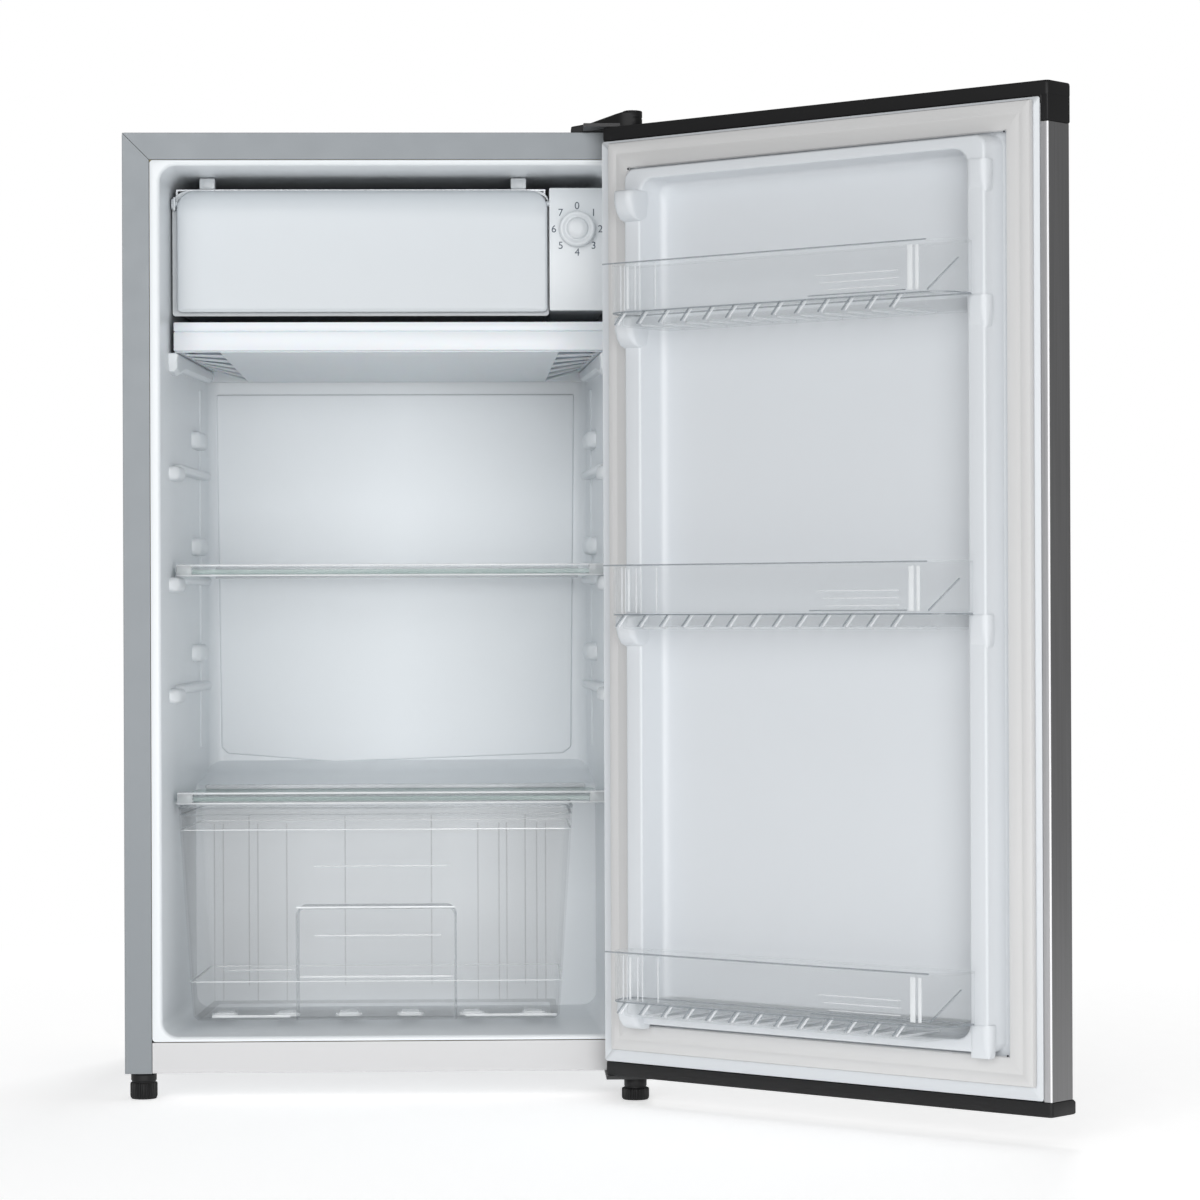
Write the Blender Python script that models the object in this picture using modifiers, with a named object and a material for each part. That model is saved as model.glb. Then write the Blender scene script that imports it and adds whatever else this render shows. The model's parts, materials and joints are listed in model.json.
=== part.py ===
"""Mini fridge with a freezer box, standing with its door open.

Frame while modelling: +X right, +Y to the back, +Z up, X = 0 in the middle of the cabinet, Y = 0 on the
cabinet's front face, Z = 0 on the floor. The last step moves everything so that the origin is the centre
of the bottom of the bounding box. Door pieces are modelled as if the door were closed, in a frame whose
origin is on the hinge axis, and an empty on that axis turns them to the open pose.
"""

import math

import bmesh
import bpy
from mathutils import Matrix, Vector

MM = 0.001
GAP = 0.3 * MM  # clearance between pieces that touch
OVERCUT = 5 * MM  # how far a cutter reaches past what it cuts
SOFT_EDGE = 1.2 * MM
FINE_EDGE = 0.8 * MM

# overall sizes
CABINET_WIDTH = 465 * MM
CABINET_DEPTH = 408 * MM
CABINET_TOP = 850 * MM
CABINET_BOTTOM = 23.5 * MM
SHEET = 1.0 * MM  # cabinet and door steel
FRONT_FLANGE = 23.7 * MM
REAR_FLANGE = 12 * MM

# food compartment
OPENING_WALL = 33 * MM  # outer side to the liner's opening
OPENING_TOP_WALL = 29 * MM
LINER_FLOOR = 56 * MM
BACK_INSULATION = 38 * MM  # liner's back wall to the cabinet's rear edge
LINER_WALL = 3 * MM
LINER_RADIUS = 13.5 * MM
LINER_SIDE_DRAFT = 0.043  # inward slope of each side wall, per unit of depth
CEILING_DROP = 4 * MM
STEP_TOP = 276 * MM  # top of the step over the compressor, at the back wall
STEP_NOSE = 262 * MM
STEP_DEPTH = 152 * MM  # step's front to the cabinet's rear edge
STEP_CHAMFER = 10 * MM
RIM_THICKNESS = 3 * MM
RAIL_DEPTH = 36 * MM
RAIL_WALL = 2 * MM
BACK_INSET = 4 * MM  # cabinet's edges to the back panel's
BRACKET_HEIGHT = 12 * MM
RUNNER_START_GAP = 2 * MM  # front trim to the shelf runner
RUNNER_END_GAP = 3 * MM  # shelf runner to the rear trim
LIP_OPENING = 40 * MM  # how far in front of the cabinet the hollow starts
BAY_WALL = 29 * MM  # insulation between the step and the compressor bay

# freezer compartment, thermostat and drip tray
FREEZER_SIDE_GAP = 9.8 * MM  # flap to the opening's left side
CONTROL_SPACE = 57.5 * MM  # flap to the opening's right side
FLAP_TOP = 807 * MM
FLAP_BOTTOM = 697.2 * MM
FLAP_FRONT = 63 * MM
FLAP_THICKNESS = 13.7 * MM
FLAP_SKIN = 2.5 * MM
FLAP_TOP_RADIUS = 17 * MM
FLAP_BOTTOM_RADIUS = 3.5 * MM
FLAP_PIN_DROP = 12.6 * MM  # from the flap's top edge down to its pins
FLAP_PIN_RADIUS = 2.5 * MM
FLAP_PIN_LENGTH = 4.6 * MM
PIN_CLEARANCE = 0.3 * MM
FRAME_DEPTH = 8 * MM
FRAME_RISE = 4 * MM  # surround above the flap
FRAME_DROP = 3 * MM  # surround below the flap
FRAME_SIDE = 2.5 * MM  # surround outside the evaporator's side
MOUTH_RISE = 4 * MM  # flap's underside up to the surround's mouth
EAR_REACH = 5 * MM  # pin axis to the ear's front edge
EAR_HALF_HEIGHT = 6 * MM
CLIP_INSET = 25.7 * MM  # freezer's side to a clip's middle
CLIP_HALF_WIDTH = 7 * MM
CLIP_DEPTH = 15 * MM
EAR_THICKNESS = 2 * MM
EVAPORATOR_SHEET = 1.5 * MM
EVAPORATOR_BACK_GAP = 25 * MM
THERMOSTAT_WIDTH = 50.4 * MM
THERMOSTAT_BACK = 205 * MM
THERMOSTAT_WALL = 2 * MM
KNOB_RADIUS = 16.2 * MM
KNOB_DEPTH = 9.5 * MM
KNOB_BOSS_RADIUS = 9 * MM
KNOB_BOSS_DEPTH = 2.5 * MM
KNOB_DROP = 37.4 * MM  # from the thermostat housing's top to the knob's axis
SHAFT_RADIUS = 3 * MM
CONTROL_HALF_WIDTH = 17 * MM
CONTROL_HALF_HEIGHT = 24 * MM
CONTROL_DEPTH = 36 * MM
HOUSING_RISE = 0.8 * MM  # housing's underside above the flap's
KNOB_EDGE = 1.5 * MM
TRAY_TOP = 688 * MM
TRAY_HEIGHT = 25.7 * MM
TRAY_FRONT = 63 * MM
TRAY_BACK_GAP = 10 * MM
TRAY_FASCIA = 9 * MM
TRAY_SIDE_GAP = 6.5 * MM
TRAY_WALL = 2 * MM

# shelves and crisper
SHELF_FRONT = 79 * MM
SHELF_BACK_GAP = 32 * MM
SHELF_SIDE_GAP = 2.5 * MM
GLASS = 4 * MM
SHELF_TRIM_HEIGHT = 11 * MM
SHELF_TRIM_DEPTH = 18 * MM
REAR_TRIM_DEPTH = 11 * MM
TRIM_GRIP = 8 * MM
UPPER_SHELF_Z = 463 * MM  # underside of the glass
LOWER_SHELF_Z = 258 * MM
SHELF_PITCH = 100 * MM
RUNNER_WIDTH = 9 * MM
RUNNER_HEIGHT = 10 * MM
BUMP_RISE = 19.5 * MM  # from a runner's top to the underside of the hold-down bump
BUMP_HEIGHT = 16 * MM
BUMP_START = 232 * MM
BUMP_END = 285 * MM
CRISPER_LEFT_GAP = 7.5 * MM
CRISPER_RIGHT_GAP = 36.1 * MM
CRISPER_TOP = 253 * MM
CRISPER_BOTTOM = 60.5 * MM
CRISPER_FRONT = 84 * MM
CRISPER_WALL = 2.2 * MM
CRISPER_TAPER = 12.5 * MM  # each side, top to bottom
CRISPER_EDGE = 6 * MM
SKID_INSET = 45 * MM  # crisper's side to a skid
SKID_HALF_WIDTH = 2 * MM
SKID_FRONT_GAP = 8 * MM
SKID_BACK_GAP = 28 * MM
POCKET_WIDTH = 144.8 * MM
POCKET_HEIGHT = 103 * MM
POCKET_DEPTH = 30 * MM

# door, in the frame of the hinge axis
HINGE_INSET = 17.3 * MM  # hinge axis to the door's hinge-side edge
HINGE_FORWARD = 30 * MM  # hinge axis in front of the cabinet
DOOR_OPEN_DEG = 138
DOOR_OUTER = -11 * MM
DOOR_INNER = 21 * MM
DOOR_TOP = 849.8 * MM
DOOR_BOTTOM = 23.8 * MM
CAP_HEIGHT = 12 * MM
CAP_LIP = 1.5 * MM
BOTTOM_CAP_LIP = 4 * MM
CAP_TAB = 20.5 * MM
LINER_EDGE = 7.5 * MM  # door edge to the door liner's edge
DOOR_LINER_SHEET = 2 * MM
GASKET_OUTER = 12.3 * MM  # door edge to the gasket
GASKET_WIDTH = 23.5 * MM
GASKET_SEAL_GAP = 0.8 * MM  # to the cabinet when the door is shut
DYKE_WIDTH = 22 * MM
DYKE_BAR = 8 * MM
DYKE_TOP = 45 * MM
DYKE_GAP = 2 * MM  # gasket to the dyke
RECESS_FLOOR = 16 * MM
BIN_FRONT = 87 * MM
BIN_HEIGHT = 55 * MM
BIN_WALL = 2 * MM
BIN_END_INSET = 55 * MM  # door's edge to a bin's end
BIN_CORNER = 22 * MM
BIN_SHOULDER_RISE = 12 * MM  # a bin's shoulder above its underside
BIN_UNDERSIDES = {"top_bin": 668.5 * MM, "middle_bin": 412.5 * MM, "bottom_bin": 84.5 * MM}
SPARE_BIN_UNDERSIDE = 777 * MM
HUMP_HEIGHT = 27 * MM
HUMP_REACH = 15 * MM
BIN_NARROW_INSET = 17.5 * MM  # bin's end to its narrow part's end
BIN_NARROW_SETBACK = 3 * MM
DYKE_DRAW = 4.4 * MM  # further in from the gasket, each side
CAP_TAB_WIDTH = 6.5 * MM
GASKET_LOW = 47.5 * MM
GASKET_HIGH = 834.5 * MM
TRAY_SIDE = 41 * MM  # side of the tray to its trough
TRAY_FALL = 10 * MM  # of the trough, front to back

# hinges, feet and cooling machinery
HINGE_PLATE = 3 * MM
HINGE_PLATE_LENGTH = 43 * MM
HINGE_PLATE_BACK = 27 * MM
HINGE_PLATE_RISE = 0.6 * MM  # above the cabinet's top
LOWER_PLATE_LEFT = 26 * MM  # hinge axis to the lower plate's inner side
LOWER_PLATE_BACK = 40 * MM  # behind the base rail
LOWER_PLATE_FRONT = 8 * MM  # in front of the hinge axis
UPPER_SCREWS_LEFT = (32 * MM, 12 * MM)  # from the hinge axis
UPPER_SCREW_Y = 14 * MM
LOWER_SCREW_LEFT = 8 * MM
LOWER_SCREWS_BACK = (10 * MM, 30 * MM)  # behind the base rail
SCREW_HEAD_HEIGHT = 2.2 * MM
UPPER_SCREW_BITE = 1.6 * MM
LOWER_SCREW_BITE = 2.6 * MM
HINGE_PIN_RADIUS = 4 * MM
HINGE_PIN_LENGTH = 11.4 * MM
BUSH_WALL = 1 * MM
BUSH_CLEARANCE = 0.3 * MM
COVER_HEIGHT = 15 * MM
COVER_TOE = 5.6 * MM
COVER_WALL = 1.8 * MM
SCREW_RADIUS = 2.5 * MM
SCREW_HEAD = 4.5 * MM
FOOT_RADIUS = 12 * MM
FOOT_HEIGHT = 22.3 * MM
HINGE_FOOT_HEIGHT = 19.6 * MM
STUD_RADIUS = 4 * MM
FOOT_FROM_FLANGE = 8.6 * MM  # front flange's inner edge to the left foot's axis
STUD_RISE = 10 * MM  # above the cabinet's underside
FRONT_FOOT_Y = 18 * MM
HINGE_FOOT_Y = -13 * MM
REAR_FOOT_INSET = 28 * MM
COMPRESSOR_X = -55 * MM
COMPRESSOR_RADIUS = 50 * MM
COMPRESSOR_HEIGHT = 126 * MM
COMPRESSOR_WALL = 4 * MM
COMPRESSOR_CROWN = 32 * MM
COMPRESSOR_RIM = 3 * MM  # weld flange's reach
COMPRESSOR_PLATE_X = 72 * MM  # half width
COMPRESSOR_PLATE_Y = 44 * MM
COMPRESSOR_PLATE_THICKNESS = 2 * MM
GROMMET_INSET = 9 * MM
GROMMET_RADIUS = 8 * MM
RELAY_HALF_WIDTH = 24 * MM
RELAY_DEPTH = 24 * MM
RELAY_LOW = 30 * MM
RELAY_HIGH = 92 * MM
DRIER_RADIUS = 8 * MM
DRIER_LENGTH = 84 * MM
DRIER_NECK = 3 * MM
DRIER_NECK_LENGTH = 6 * MM
DRIER_SHOULDER = 14 * MM
DRIER_INSET = 40 * MM
DRIER_BACK = 20 * MM
DRIER_Z = 150 * MM
CAPILLARY_RADIUS = 1.2 * MM
GROMMET_HEIGHT = 13 * MM
TUBE_RADIUS = 2.6 * MM
CONDENSER_SPACE = 7 * MM
CONDENSER_RUNS = 7

HALF_WIDTH = CABINET_WIDTH / 2
OPENING_HALF = HALF_WIDTH - OPENING_WALL
OPENING_TOP = CABINET_TOP - OPENING_TOP_WALL
LINER_DEPTH = CABINET_DEPTH - BACK_INSULATION
STEP_FRONT = CABINET_DEPTH - STEP_DEPTH
EVAPORATOR_BACK = LINER_DEPTH - EVAPORATOR_BACK_GAP
TRAY_BACK = LINER_DEPTH - TRAY_BACK_GAP
SHELF_BACK = LINER_DEPTH - SHELF_BACK_GAP
FREEZER_LEFT = FREEZER_SIDE_GAP - OPENING_HALF
FREEZER_RIGHT = OPENING_HALF - CONTROL_SPACE
TRAY_HALF_WIDTH = OPENING_HALF - TRAY_SIDE_GAP
CRISPER_LEFT = CRISPER_LEFT_GAP - OPENING_HALF
CRISPER_RIGHT = OPENING_HALF - CRISPER_RIGHT_GAP
BIN_HALF_LENGTH = HALF_WIDTH - BIN_END_INSET
BIN_NARROW_HALF = BIN_HALF_LENGTH - BIN_NARROW_INSET
RIM_BOTTOM = LINER_FLOOR - 4.7 * MM
HINGE_X = HALF_WIDTH - HINGE_INSET
HINGE_Y = -HINGE_FORWARD
DOOR_FREE = HINGE_INSET - CABINET_WIDTH  # free edge, along the closed door
BAY_FRONT = STEP_FRONT + BAY_WALL
BAY_TOP = STEP_NOSE - BAY_WALL + 8 * MM
FLAP_BACK = FLAP_FRONT + FLAP_THICKNESS
FLAP_PIN_Y = FLAP_BACK - 5.5 * MM
FLAP_PIN_Z = FLAP_TOP - FLAP_PIN_DROP
FRAME_FRONT = FLAP_BACK + GAP
FRAME_BACK = FRAME_FRONT + FRAME_DEPTH
THERMOSTAT_LEFT = FREEZER_RIGHT + 1.8 * MM
THERMOSTAT_TOP = FLAP_TOP + 1.5 * MM
THERMOSTAT_FRONT = FLAP_FRONT + 3 * MM
KNOB_X = THERMOSTAT_LEFT + THERMOSTAT_WIDTH / 2 - 0.3 * MM
KNOB_Z = THERMOSTAT_TOP - KNOB_DROP
CRISPER_BACK = STEP_FRONT - 9 * MM
PLATE_TOP = CABINET_BOTTOM - GAP
PAN_LOW = CABINET_BOTTOM + 0.5 * MM
PAN_TOP = CABINET_BOTTOM + 2 * MM
TRAY_BOTTOM = TRAY_TOP - TRAY_HEIGHT - 1.3 * MM


# ---------------------------------------------------------------- scene and helpers

for old in list(bpy.data.objects):
    bpy.data.objects.remove(old, do_unlink=True)

parts = bpy.data.collections.new("mini_fridge")
bpy.context.scene.collection.children.link(parts)
cutters = bpy.data.collections.new("mini_fridge_cutters")
bpy.context.scene.collection.children.link(cutters)


def empty(name, location, parent=None):
    thing = bpy.data.objects.new(name, None)
    parts.objects.link(thing)
    thing.location = location
    thing.parent = parent
    return thing


whole = empty("whole", (0, 0, 0))
door = empty("door", (HINGE_X, HINGE_Y, 0), whole)
door.rotation_euler.z = math.radians(DOOR_OPEN_DEG)
flap_pivot = empty("flap_pivot", (0, FLAP_PIN_Y, FLAP_PIN_Z), whole)


def make_material(name, colour, roughness, metallic=0.0, alpha=1.0):
    material = bpy.data.materials.new(name)
    material.use_nodes = True
    shader = material.node_tree.nodes["Principled BSDF"]
    shader.inputs["Base Color"].default_value = (*colour, 1.0)
    shader.inputs["Roughness"].default_value = roughness
    shader.inputs["Metallic"].default_value = metallic
    shader.inputs["Alpha"].default_value = alpha
    return material


MATERIALS = {
    "cabinet_paint": make_material("cabinet_paint", (0.29, 0.31, 0.33), 0.4, 0.3),
    "zinc_sheet": make_material("zinc_sheet", (0.5, 0.5, 0.51), 0.5, 0.8),
    "white_plastic": make_material("white_plastic", (0.72, 0.74, 0.76), 0.35),
    "tray_plastic": make_material("tray_plastic", (0.84, 0.86, 0.88), 0.4),
    "foam": make_material("foam", (0.72, 0.66, 0.42), 0.9),
    "aluminium": make_material("aluminium", (0.7, 0.71, 0.73), 0.4, 0.9),
    "glass": make_material("glass", (0.75, 0.86, 0.84), 0.05, 0.0, 0.35),
    "clear_plastic": make_material("clear_plastic", (0.85, 0.9, 0.92), 0.1, 0.0, 0.35),
    "door_steel": make_material("door_steel", (0.1, 0.1, 0.1), 0.35, 0.9),
    "black_plastic": make_material("black_plastic", (0.015, 0.015, 0.015), 0.45),
    "gasket_rubber": make_material("gasket_rubber", (0.56, 0.56, 0.55), 0.65),
    "black_steel": make_material("black_steel", (0.03, 0.03, 0.03), 0.4, 0.5),
    "bright_steel": make_material("bright_steel", (0.6, 0.6, 0.6), 0.3, 1.0),
    "copper": make_material("copper", (0.7, 0.3, 0.18), 0.35, 1.0),
    "rubber": make_material("rubber", (0.03, 0.03, 0.03), 0.8),
}


def add_object(name, mesh, material, parent=None, cutter=False):
    thing = bpy.data.objects.new(name, mesh)
    (cutters if cutter else parts).objects.link(thing)
    if material:
        mesh.materials.clear()
        mesh.materials.append(MATERIALS[material])
    if cutter:
        thing.hide_render = True
        thing.display_type = "WIRE"
    thing.parent = parent or whole
    return thing


def mesh_from(work, name):
    mesh = bpy.data.meshes.new(name)
    bmesh.ops.recalc_face_normals(work, faces=work.faces)
    work.to_mesh(mesh)
    work.free()
    return mesh


def box(name, low, high, material=None, parent=None, cutter=False, bevel=0.0, segments=2):
    """A box between two corners, its edges rounded by bevel."""
    low, high = Vector(low), Vector(high)
    work = bmesh.new()
    bmesh.ops.create_cube(work, size=1.0)
    bmesh.ops.scale(work, vec=high - low, verts=work.verts)
    if bevel:
        bmesh.ops.bevel(work, geom=work.edges[:], offset=bevel, segments=segments, profile=0.5,
                        affect="EDGES", clamp_overlap=True)
    thing = add_object(name, mesh_from(work, name), material, parent, cutter)
    thing.location = (low + high) / 2
    return thing


def arc(centre, radius, start_deg, end_deg, steps):
    """Points on an arc, its two ends included."""
    turn = math.radians(end_deg - start_deg) / steps
    start = math.radians(start_deg)
    return [(centre[0] + radius * math.cos(start + turn * i),
             centre[1] + radius * math.sin(start + turn * i))
            for i in range(steps + 1)]


def rounded_rectangle(low, high, radii, steps=4):
    """An anticlockwise outline. radii: bottom left, bottom right, top right, top left."""
    (x0, y0), (x1, y1) = low, high
    corners = [(x0, y0, 180, 1, 1), (x1, y0, 270, -1, 1), (x1, y1, 0, -1, -1), (x0, y1, 90, 1, -1)]
    outline = []
    for (x, y, start, sx, sy), radius in zip(corners, radii):
        if radius:
            outline += arc((x + sx * radius, y + sy * radius), radius, start, start + 90, steps)
        else:
            outline.append((x, y))
    return outline


AXIS_FRAMES = {
    "X": Matrix(((0, 0, 1, 0), (1, 0, 0, 0), (0, 1, 0, 0), (0, 0, 0, 1))),
    "Y": Matrix(((1, 0, 0, 0), (0, 0, -1, 0), (0, 1, 0, 0), (0, 0, 0, 1))),
    "Z": Matrix.Identity(4),
}


def outline_mesh(name, outline, low, high, axis):
    """A flat outline made solid from low to high along an axis: X takes (y, z), Y (x, z) and Z (x, y)."""
    curve = bpy.data.curves.new(name, "CURVE")
    curve.dimensions = "2D"
    curve.fill_mode = "BOTH"
    curve.extrude = (high - low) / 2
    spline = curve.splines.new("POLY")
    spline.points.add(len(outline) - 1)
    for point, (u, v) in zip(spline.points, outline):
        point.co = (u, v, 0, 1)
    spline.use_cyclic_u = True
    holder = bpy.data.objects.new(name, curve)
    cutters.objects.link(holder)
    bpy.context.view_layer.update()
    mesh = bpy.data.meshes.new_from_object(holder.evaluated_get(bpy.context.evaluated_depsgraph_get()))
    bpy.data.objects.remove(holder, do_unlink=True)
    work = bmesh.new()
    work.from_mesh(mesh)
    bmesh.ops.remove_doubles(work, verts=work.verts, dist=1e-6)
    bmesh.ops.dissolve_limit(work, angle_limit=0.001, verts=work.verts, edges=work.edges)
    middle = (low + high) / 2
    shift = {"X": (middle, 0, 0), "Y": (0, middle, 0), "Z": (0, 0, middle)}[axis]
    bmesh.ops.transform(work, matrix=Matrix.Translation(shift) @ AXIS_FRAMES[axis], verts=work.verts)
    return mesh_from(work, name)


def plate(name, outline, low, high, axis, material=None, parent=None, cutter=False):
    return add_object(name, outline_mesh(name, outline, low, high, axis), material, parent, cutter)


def cylinder(name, start, end, radius, material=None, parent=None, cutter=False, sides=24):
    """A round bar between two points."""
    start, end = Vector(start), Vector(end)
    work = bmesh.new()
    bmesh.ops.create_cone(work, cap_ends=True, segments=sides, radius1=radius, radius2=radius,
                          depth=(end - start).length)
    bmesh.ops.rotate(work, cent=(0, 0, 0), matrix=Vector((0, 0,
                                                          1)).rotation_difference(end - start).to_matrix(),
                     verts=work.verts)
    mesh = mesh_from(work, name)
    mesh.shade_smooth()
    mesh.set_sharp_from_angle(angle=math.radians(40))
    thing = add_object(name, mesh, material, parent, cutter)
    thing.location = (start + end) / 2
    return thing


def turned(name, profile, location, material, parent=None, steps=24):
    """A solid turned around its own Z from an outline of (radius, z), run down its outer side."""
    mesh = bpy.data.meshes.new(name)
    mesh.from_pydata([(r, 0, z) for r, z in profile], [(i, i + 1) for i in range(len(profile) - 1)], [])
    thing = add_object(name, mesh, material, parent)
    thing.location = location
    screw = thing.modifiers.new("turn", "SCREW")
    screw.steps = screw.render_steps = steps
    screw.use_merge_vertices = True
    screw.merge_threshold = 1e-5
    return thing


def tube(name, points, radius, material, parent=None, resolution=2):
    """A round tube along points, with filled ends."""
    curve = bpy.data.curves.new(name, "CURVE")
    curve.dimensions = "3D"
    curve.bevel_depth = radius
    curve.bevel_resolution = resolution
    curve.use_fill_caps = True
    spline = curve.splines.new("POLY")
    spline.points.add(len(points) - 1)
    for point, place in zip(spline.points, points):
        point.co = (*place, 1)
    thing = bpy.data.objects.new(name, curve)
    parts.objects.link(thing)
    curve.materials.append(MATERIALS[material])
    thing.parent = parent or whole
    return thing


def boolean(thing, other, operation):
    modifier = thing.modifiers.new(operation.lower() + "_" + other.name, "BOOLEAN")
    modifier.operation = operation
    modifier.solver = "EXACT"
    modifier.object = other


def cut(thing, *others):
    for other in others:
        boolean(thing, other, "DIFFERENCE")


def join(thing, *others):
    for other in others:
        boolean(thing, other, "UNION")


def loft_box(name, bottom, top, low, high, radius, material=None, cutter=False):
    """A box between two heights whose ends are different four-sided outlines, given anticlockwise."""
    work = bmesh.new()
    bmesh.ops.create_cube(work, size=2.0)
    for vertex in work.verts:
        corners = top if vertex.co.z > 0 else bottom
        corner = {(-1, -1): 0, (1, -1): 1, (1, 1): 2, (-1, 1): 3}[(round(vertex.co.x), round(vertex.co.y))]
        vertex.co = (*corners[corner], high if vertex.co.z > 0 else low)
    if radius:
        edges = [e for e in work.edges if min(v.co.z for v in e.verts) < (low + high) / 2]
        bmesh.ops.bevel(work, geom=edges, offset=radius, segments=3, profile=0.5, affect="EDGES",
                        clamp_overlap=True)
    return add_object(name, mesh_from(work, name), material, None, cutter)


def route(points, bend):
    """A run of points with each corner rounded off over the length bend."""
    points = [Vector(p) for p in points]
    path = [points[0]]
    for before, corner, after in zip(points, points[1:], points[2:]):
        start = corner + (before - corner).normalized() * bend
        end = corner + (after - corner).normalized() * bend
        for i in range(5):
            t = i / 4
            path.append(start * (1 - t) ** 2 + corner * 2 * t * (1 - t) + end * t ** 2)
    path.append(points[-1])
    return path


# ---------------------------------------------------------------- cabinet


def liner_half(y, offset=0.0):
    """Half the compartment's width at a depth."""
    return OPENING_HALF - LINER_SIDE_DRAFT * y + offset


def ceiling(y):
    """The compartment's height at a depth."""
    return OPENING_TOP - CEILING_DROP * y / LINER_DEPTH


def liner_block(name, offset, front, material=None, cutter=False):
    """The compartment's shape, offset outwards: a side outline made wide, drawn in towards the back."""
    floor = LINER_FLOOR - offset
    back = LINER_DEPTH + offset
    radius = LINER_RADIUS + offset
    outline = [
        (front, floor),
        (STEP_FRONT + offset, floor),
        (STEP_FRONT + offset, STEP_NOSE - offset),
        (STEP_FRONT + STEP_CHAMFER + offset, STEP_NOSE + STEP_CHAMFER - offset),
        (back, STEP_TOP - offset),
        (back, ceiling(back) + offset),
        (front, ceiling(front) + offset),
    ]
    mesh = outline_mesh(name, outline, -1.0, 1.0, "X")
    work = bmesh.new()
    work.from_mesh(mesh)
    for vertex in work.verts:
        vertex.co.x *= liner_half(vertex.co.y, offset)

    def rounded(edge):
        first, second = (v.co for v in edge.verts)
        on_nose = abs(first.z - second.z) < MM and STEP_NOSE - 2 * offset < first.z + MM < STEP_TOP
        across = abs(first.x - second.x) > OPENING_HALF
        return max(first.y, second.y) > front + MM and not (across and on_nose)

    bmesh.ops.bevel(work, geom=[e for e in work.edges if rounded(e)], offset=radius, segments=3,
                    profile=0.5,
                    affect="EDGES", clamp_overlap=False)
    return add_object(name, mesh_from(work, name), material, None, cutter)


def outer_shell():
    shell = box("outer_shell", (-HALF_WIDTH, 0, CABINET_BOTTOM), (HALF_WIDTH, CABINET_DEPTH, CABINET_TOP),
                "cabinet_paint", bevel=SOFT_EDGE)
    below = CABINET_BOTTOM - OVERCUT
    inner = HALF_WIDTH - SHEET
    mouth = HALF_WIDTH - FRONT_FLANGE
    rear = HALF_WIDTH - REAR_FLANGE
    cut(
        shell,
        box("shell_hollow", (-inner, SHEET, below), (inner, CABINET_DEPTH - SHEET, CABINET_TOP - SHEET),
            cutter=True),
        box("shell_mouth", (-mouth, -SHEET, below), (mouth, 3 * SHEET, CABINET_TOP - FRONT_FLANGE),
            cutter=True),
        box("shell_back", (-rear, CABINET_DEPTH - 3 * SHEET, below),
            (rear, CABINET_DEPTH + SHEET, CABINET_TOP - REAR_FLANGE), cutter=True),
    )
    screw_bores(shell, upper_screw_places(), CABINET_TOP - OVERCUT, CABINET_TOP + OVERCUT)


def back_panel():
    side = HALF_WIDTH - BACK_INSET
    box("back_panel", (-side, CABINET_DEPTH + GAP, BAY_TOP + SHEET),
        (side, CABINET_DEPTH + GAP + SHEET, CABINET_TOP - BACK_INSET), "cabinet_paint")


def base_rail():
    """The white rail under the opening: a front wall and a bottom lip."""
    side = HALF_WIDTH - FRONT_FLANGE - GAP
    rail = box("base_rail", (-side, 0, CABINET_BOTTOM), (side, RAIL_DEPTH, RIM_BOTTOM - GAP),
               "white_plastic",
               bevel=FINE_EDGE, segments=1)
    cut(rail, box("rail_hollow", (-side - MM, RAIL_WALL, CABINET_BOTTOM + RAIL_WALL),
                  (side + MM, RAIL_DEPTH + MM, RIM_BOTTOM + MM), cutter=True))


def base_plate():
    side = HALF_WIDTH - SHEET - GAP
    pan = box("base_plate", (-side, RAIL_DEPTH + GAP, PAN_LOW),
        (side, CABINET_DEPTH - SHEET - GAP, PAN_TOP), "zinc_sheet")
    screw_bores(pan, lower_screw_places(), CABINET_BOTTOM - MM, CABINET_BOTTOM + OVERCUT)


def corner_bracket():
    """The steel corner over the left front foot, bored for its stud."""
    inner = -HALF_WIDTH + FRONT_FLANGE - GAP
    bracket = box("corner_bracket", (-HALF_WIDTH + SHEET + GAP, SHEET + GAP, CABINET_BOTTOM),
                  (inner, RAIL_DEPTH - GAP, CABINET_BOTTOM + BRACKET_HEIGHT), "zinc_sheet")
    cut(bracket, cylinder("bracket_bore", (foot_x(), FRONT_FOOT_Y, 0),
                          (foot_x(), FRONT_FOOT_Y, CABINET_BOTTOM + BRACKET_HEIGHT + OVERCUT),
                          STUD_RADIUS + GAP, cutter=True, sides=16))


def foot_x():
    """The left front foot's axis."""
    return -HALF_WIDTH + FRONT_FLANGE - FOOT_FROM_FLANGE


def wall_rib(liner, index, side, top, start, end, height=RUNNER_HEIGHT):
    """One moulded runner or hold-down bump, sunk into a side wall and drawn in with it."""
    outline = [
        (liner_half(start) + LINER_WALL / 2, start),
        (liner_half(end) + LINER_WALL / 2, end),
        (liner_half(end) - RUNNER_WIDTH, end),
        (liner_half(start) - RUNNER_WIDTH, start),
    ]
    if side < 0:
        outline = [(-x, y) for x, y in reversed(outline)]
    join(liner, plate(f"rib_{index}", outline, top - height, top, "Z", cutter=True))


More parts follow.
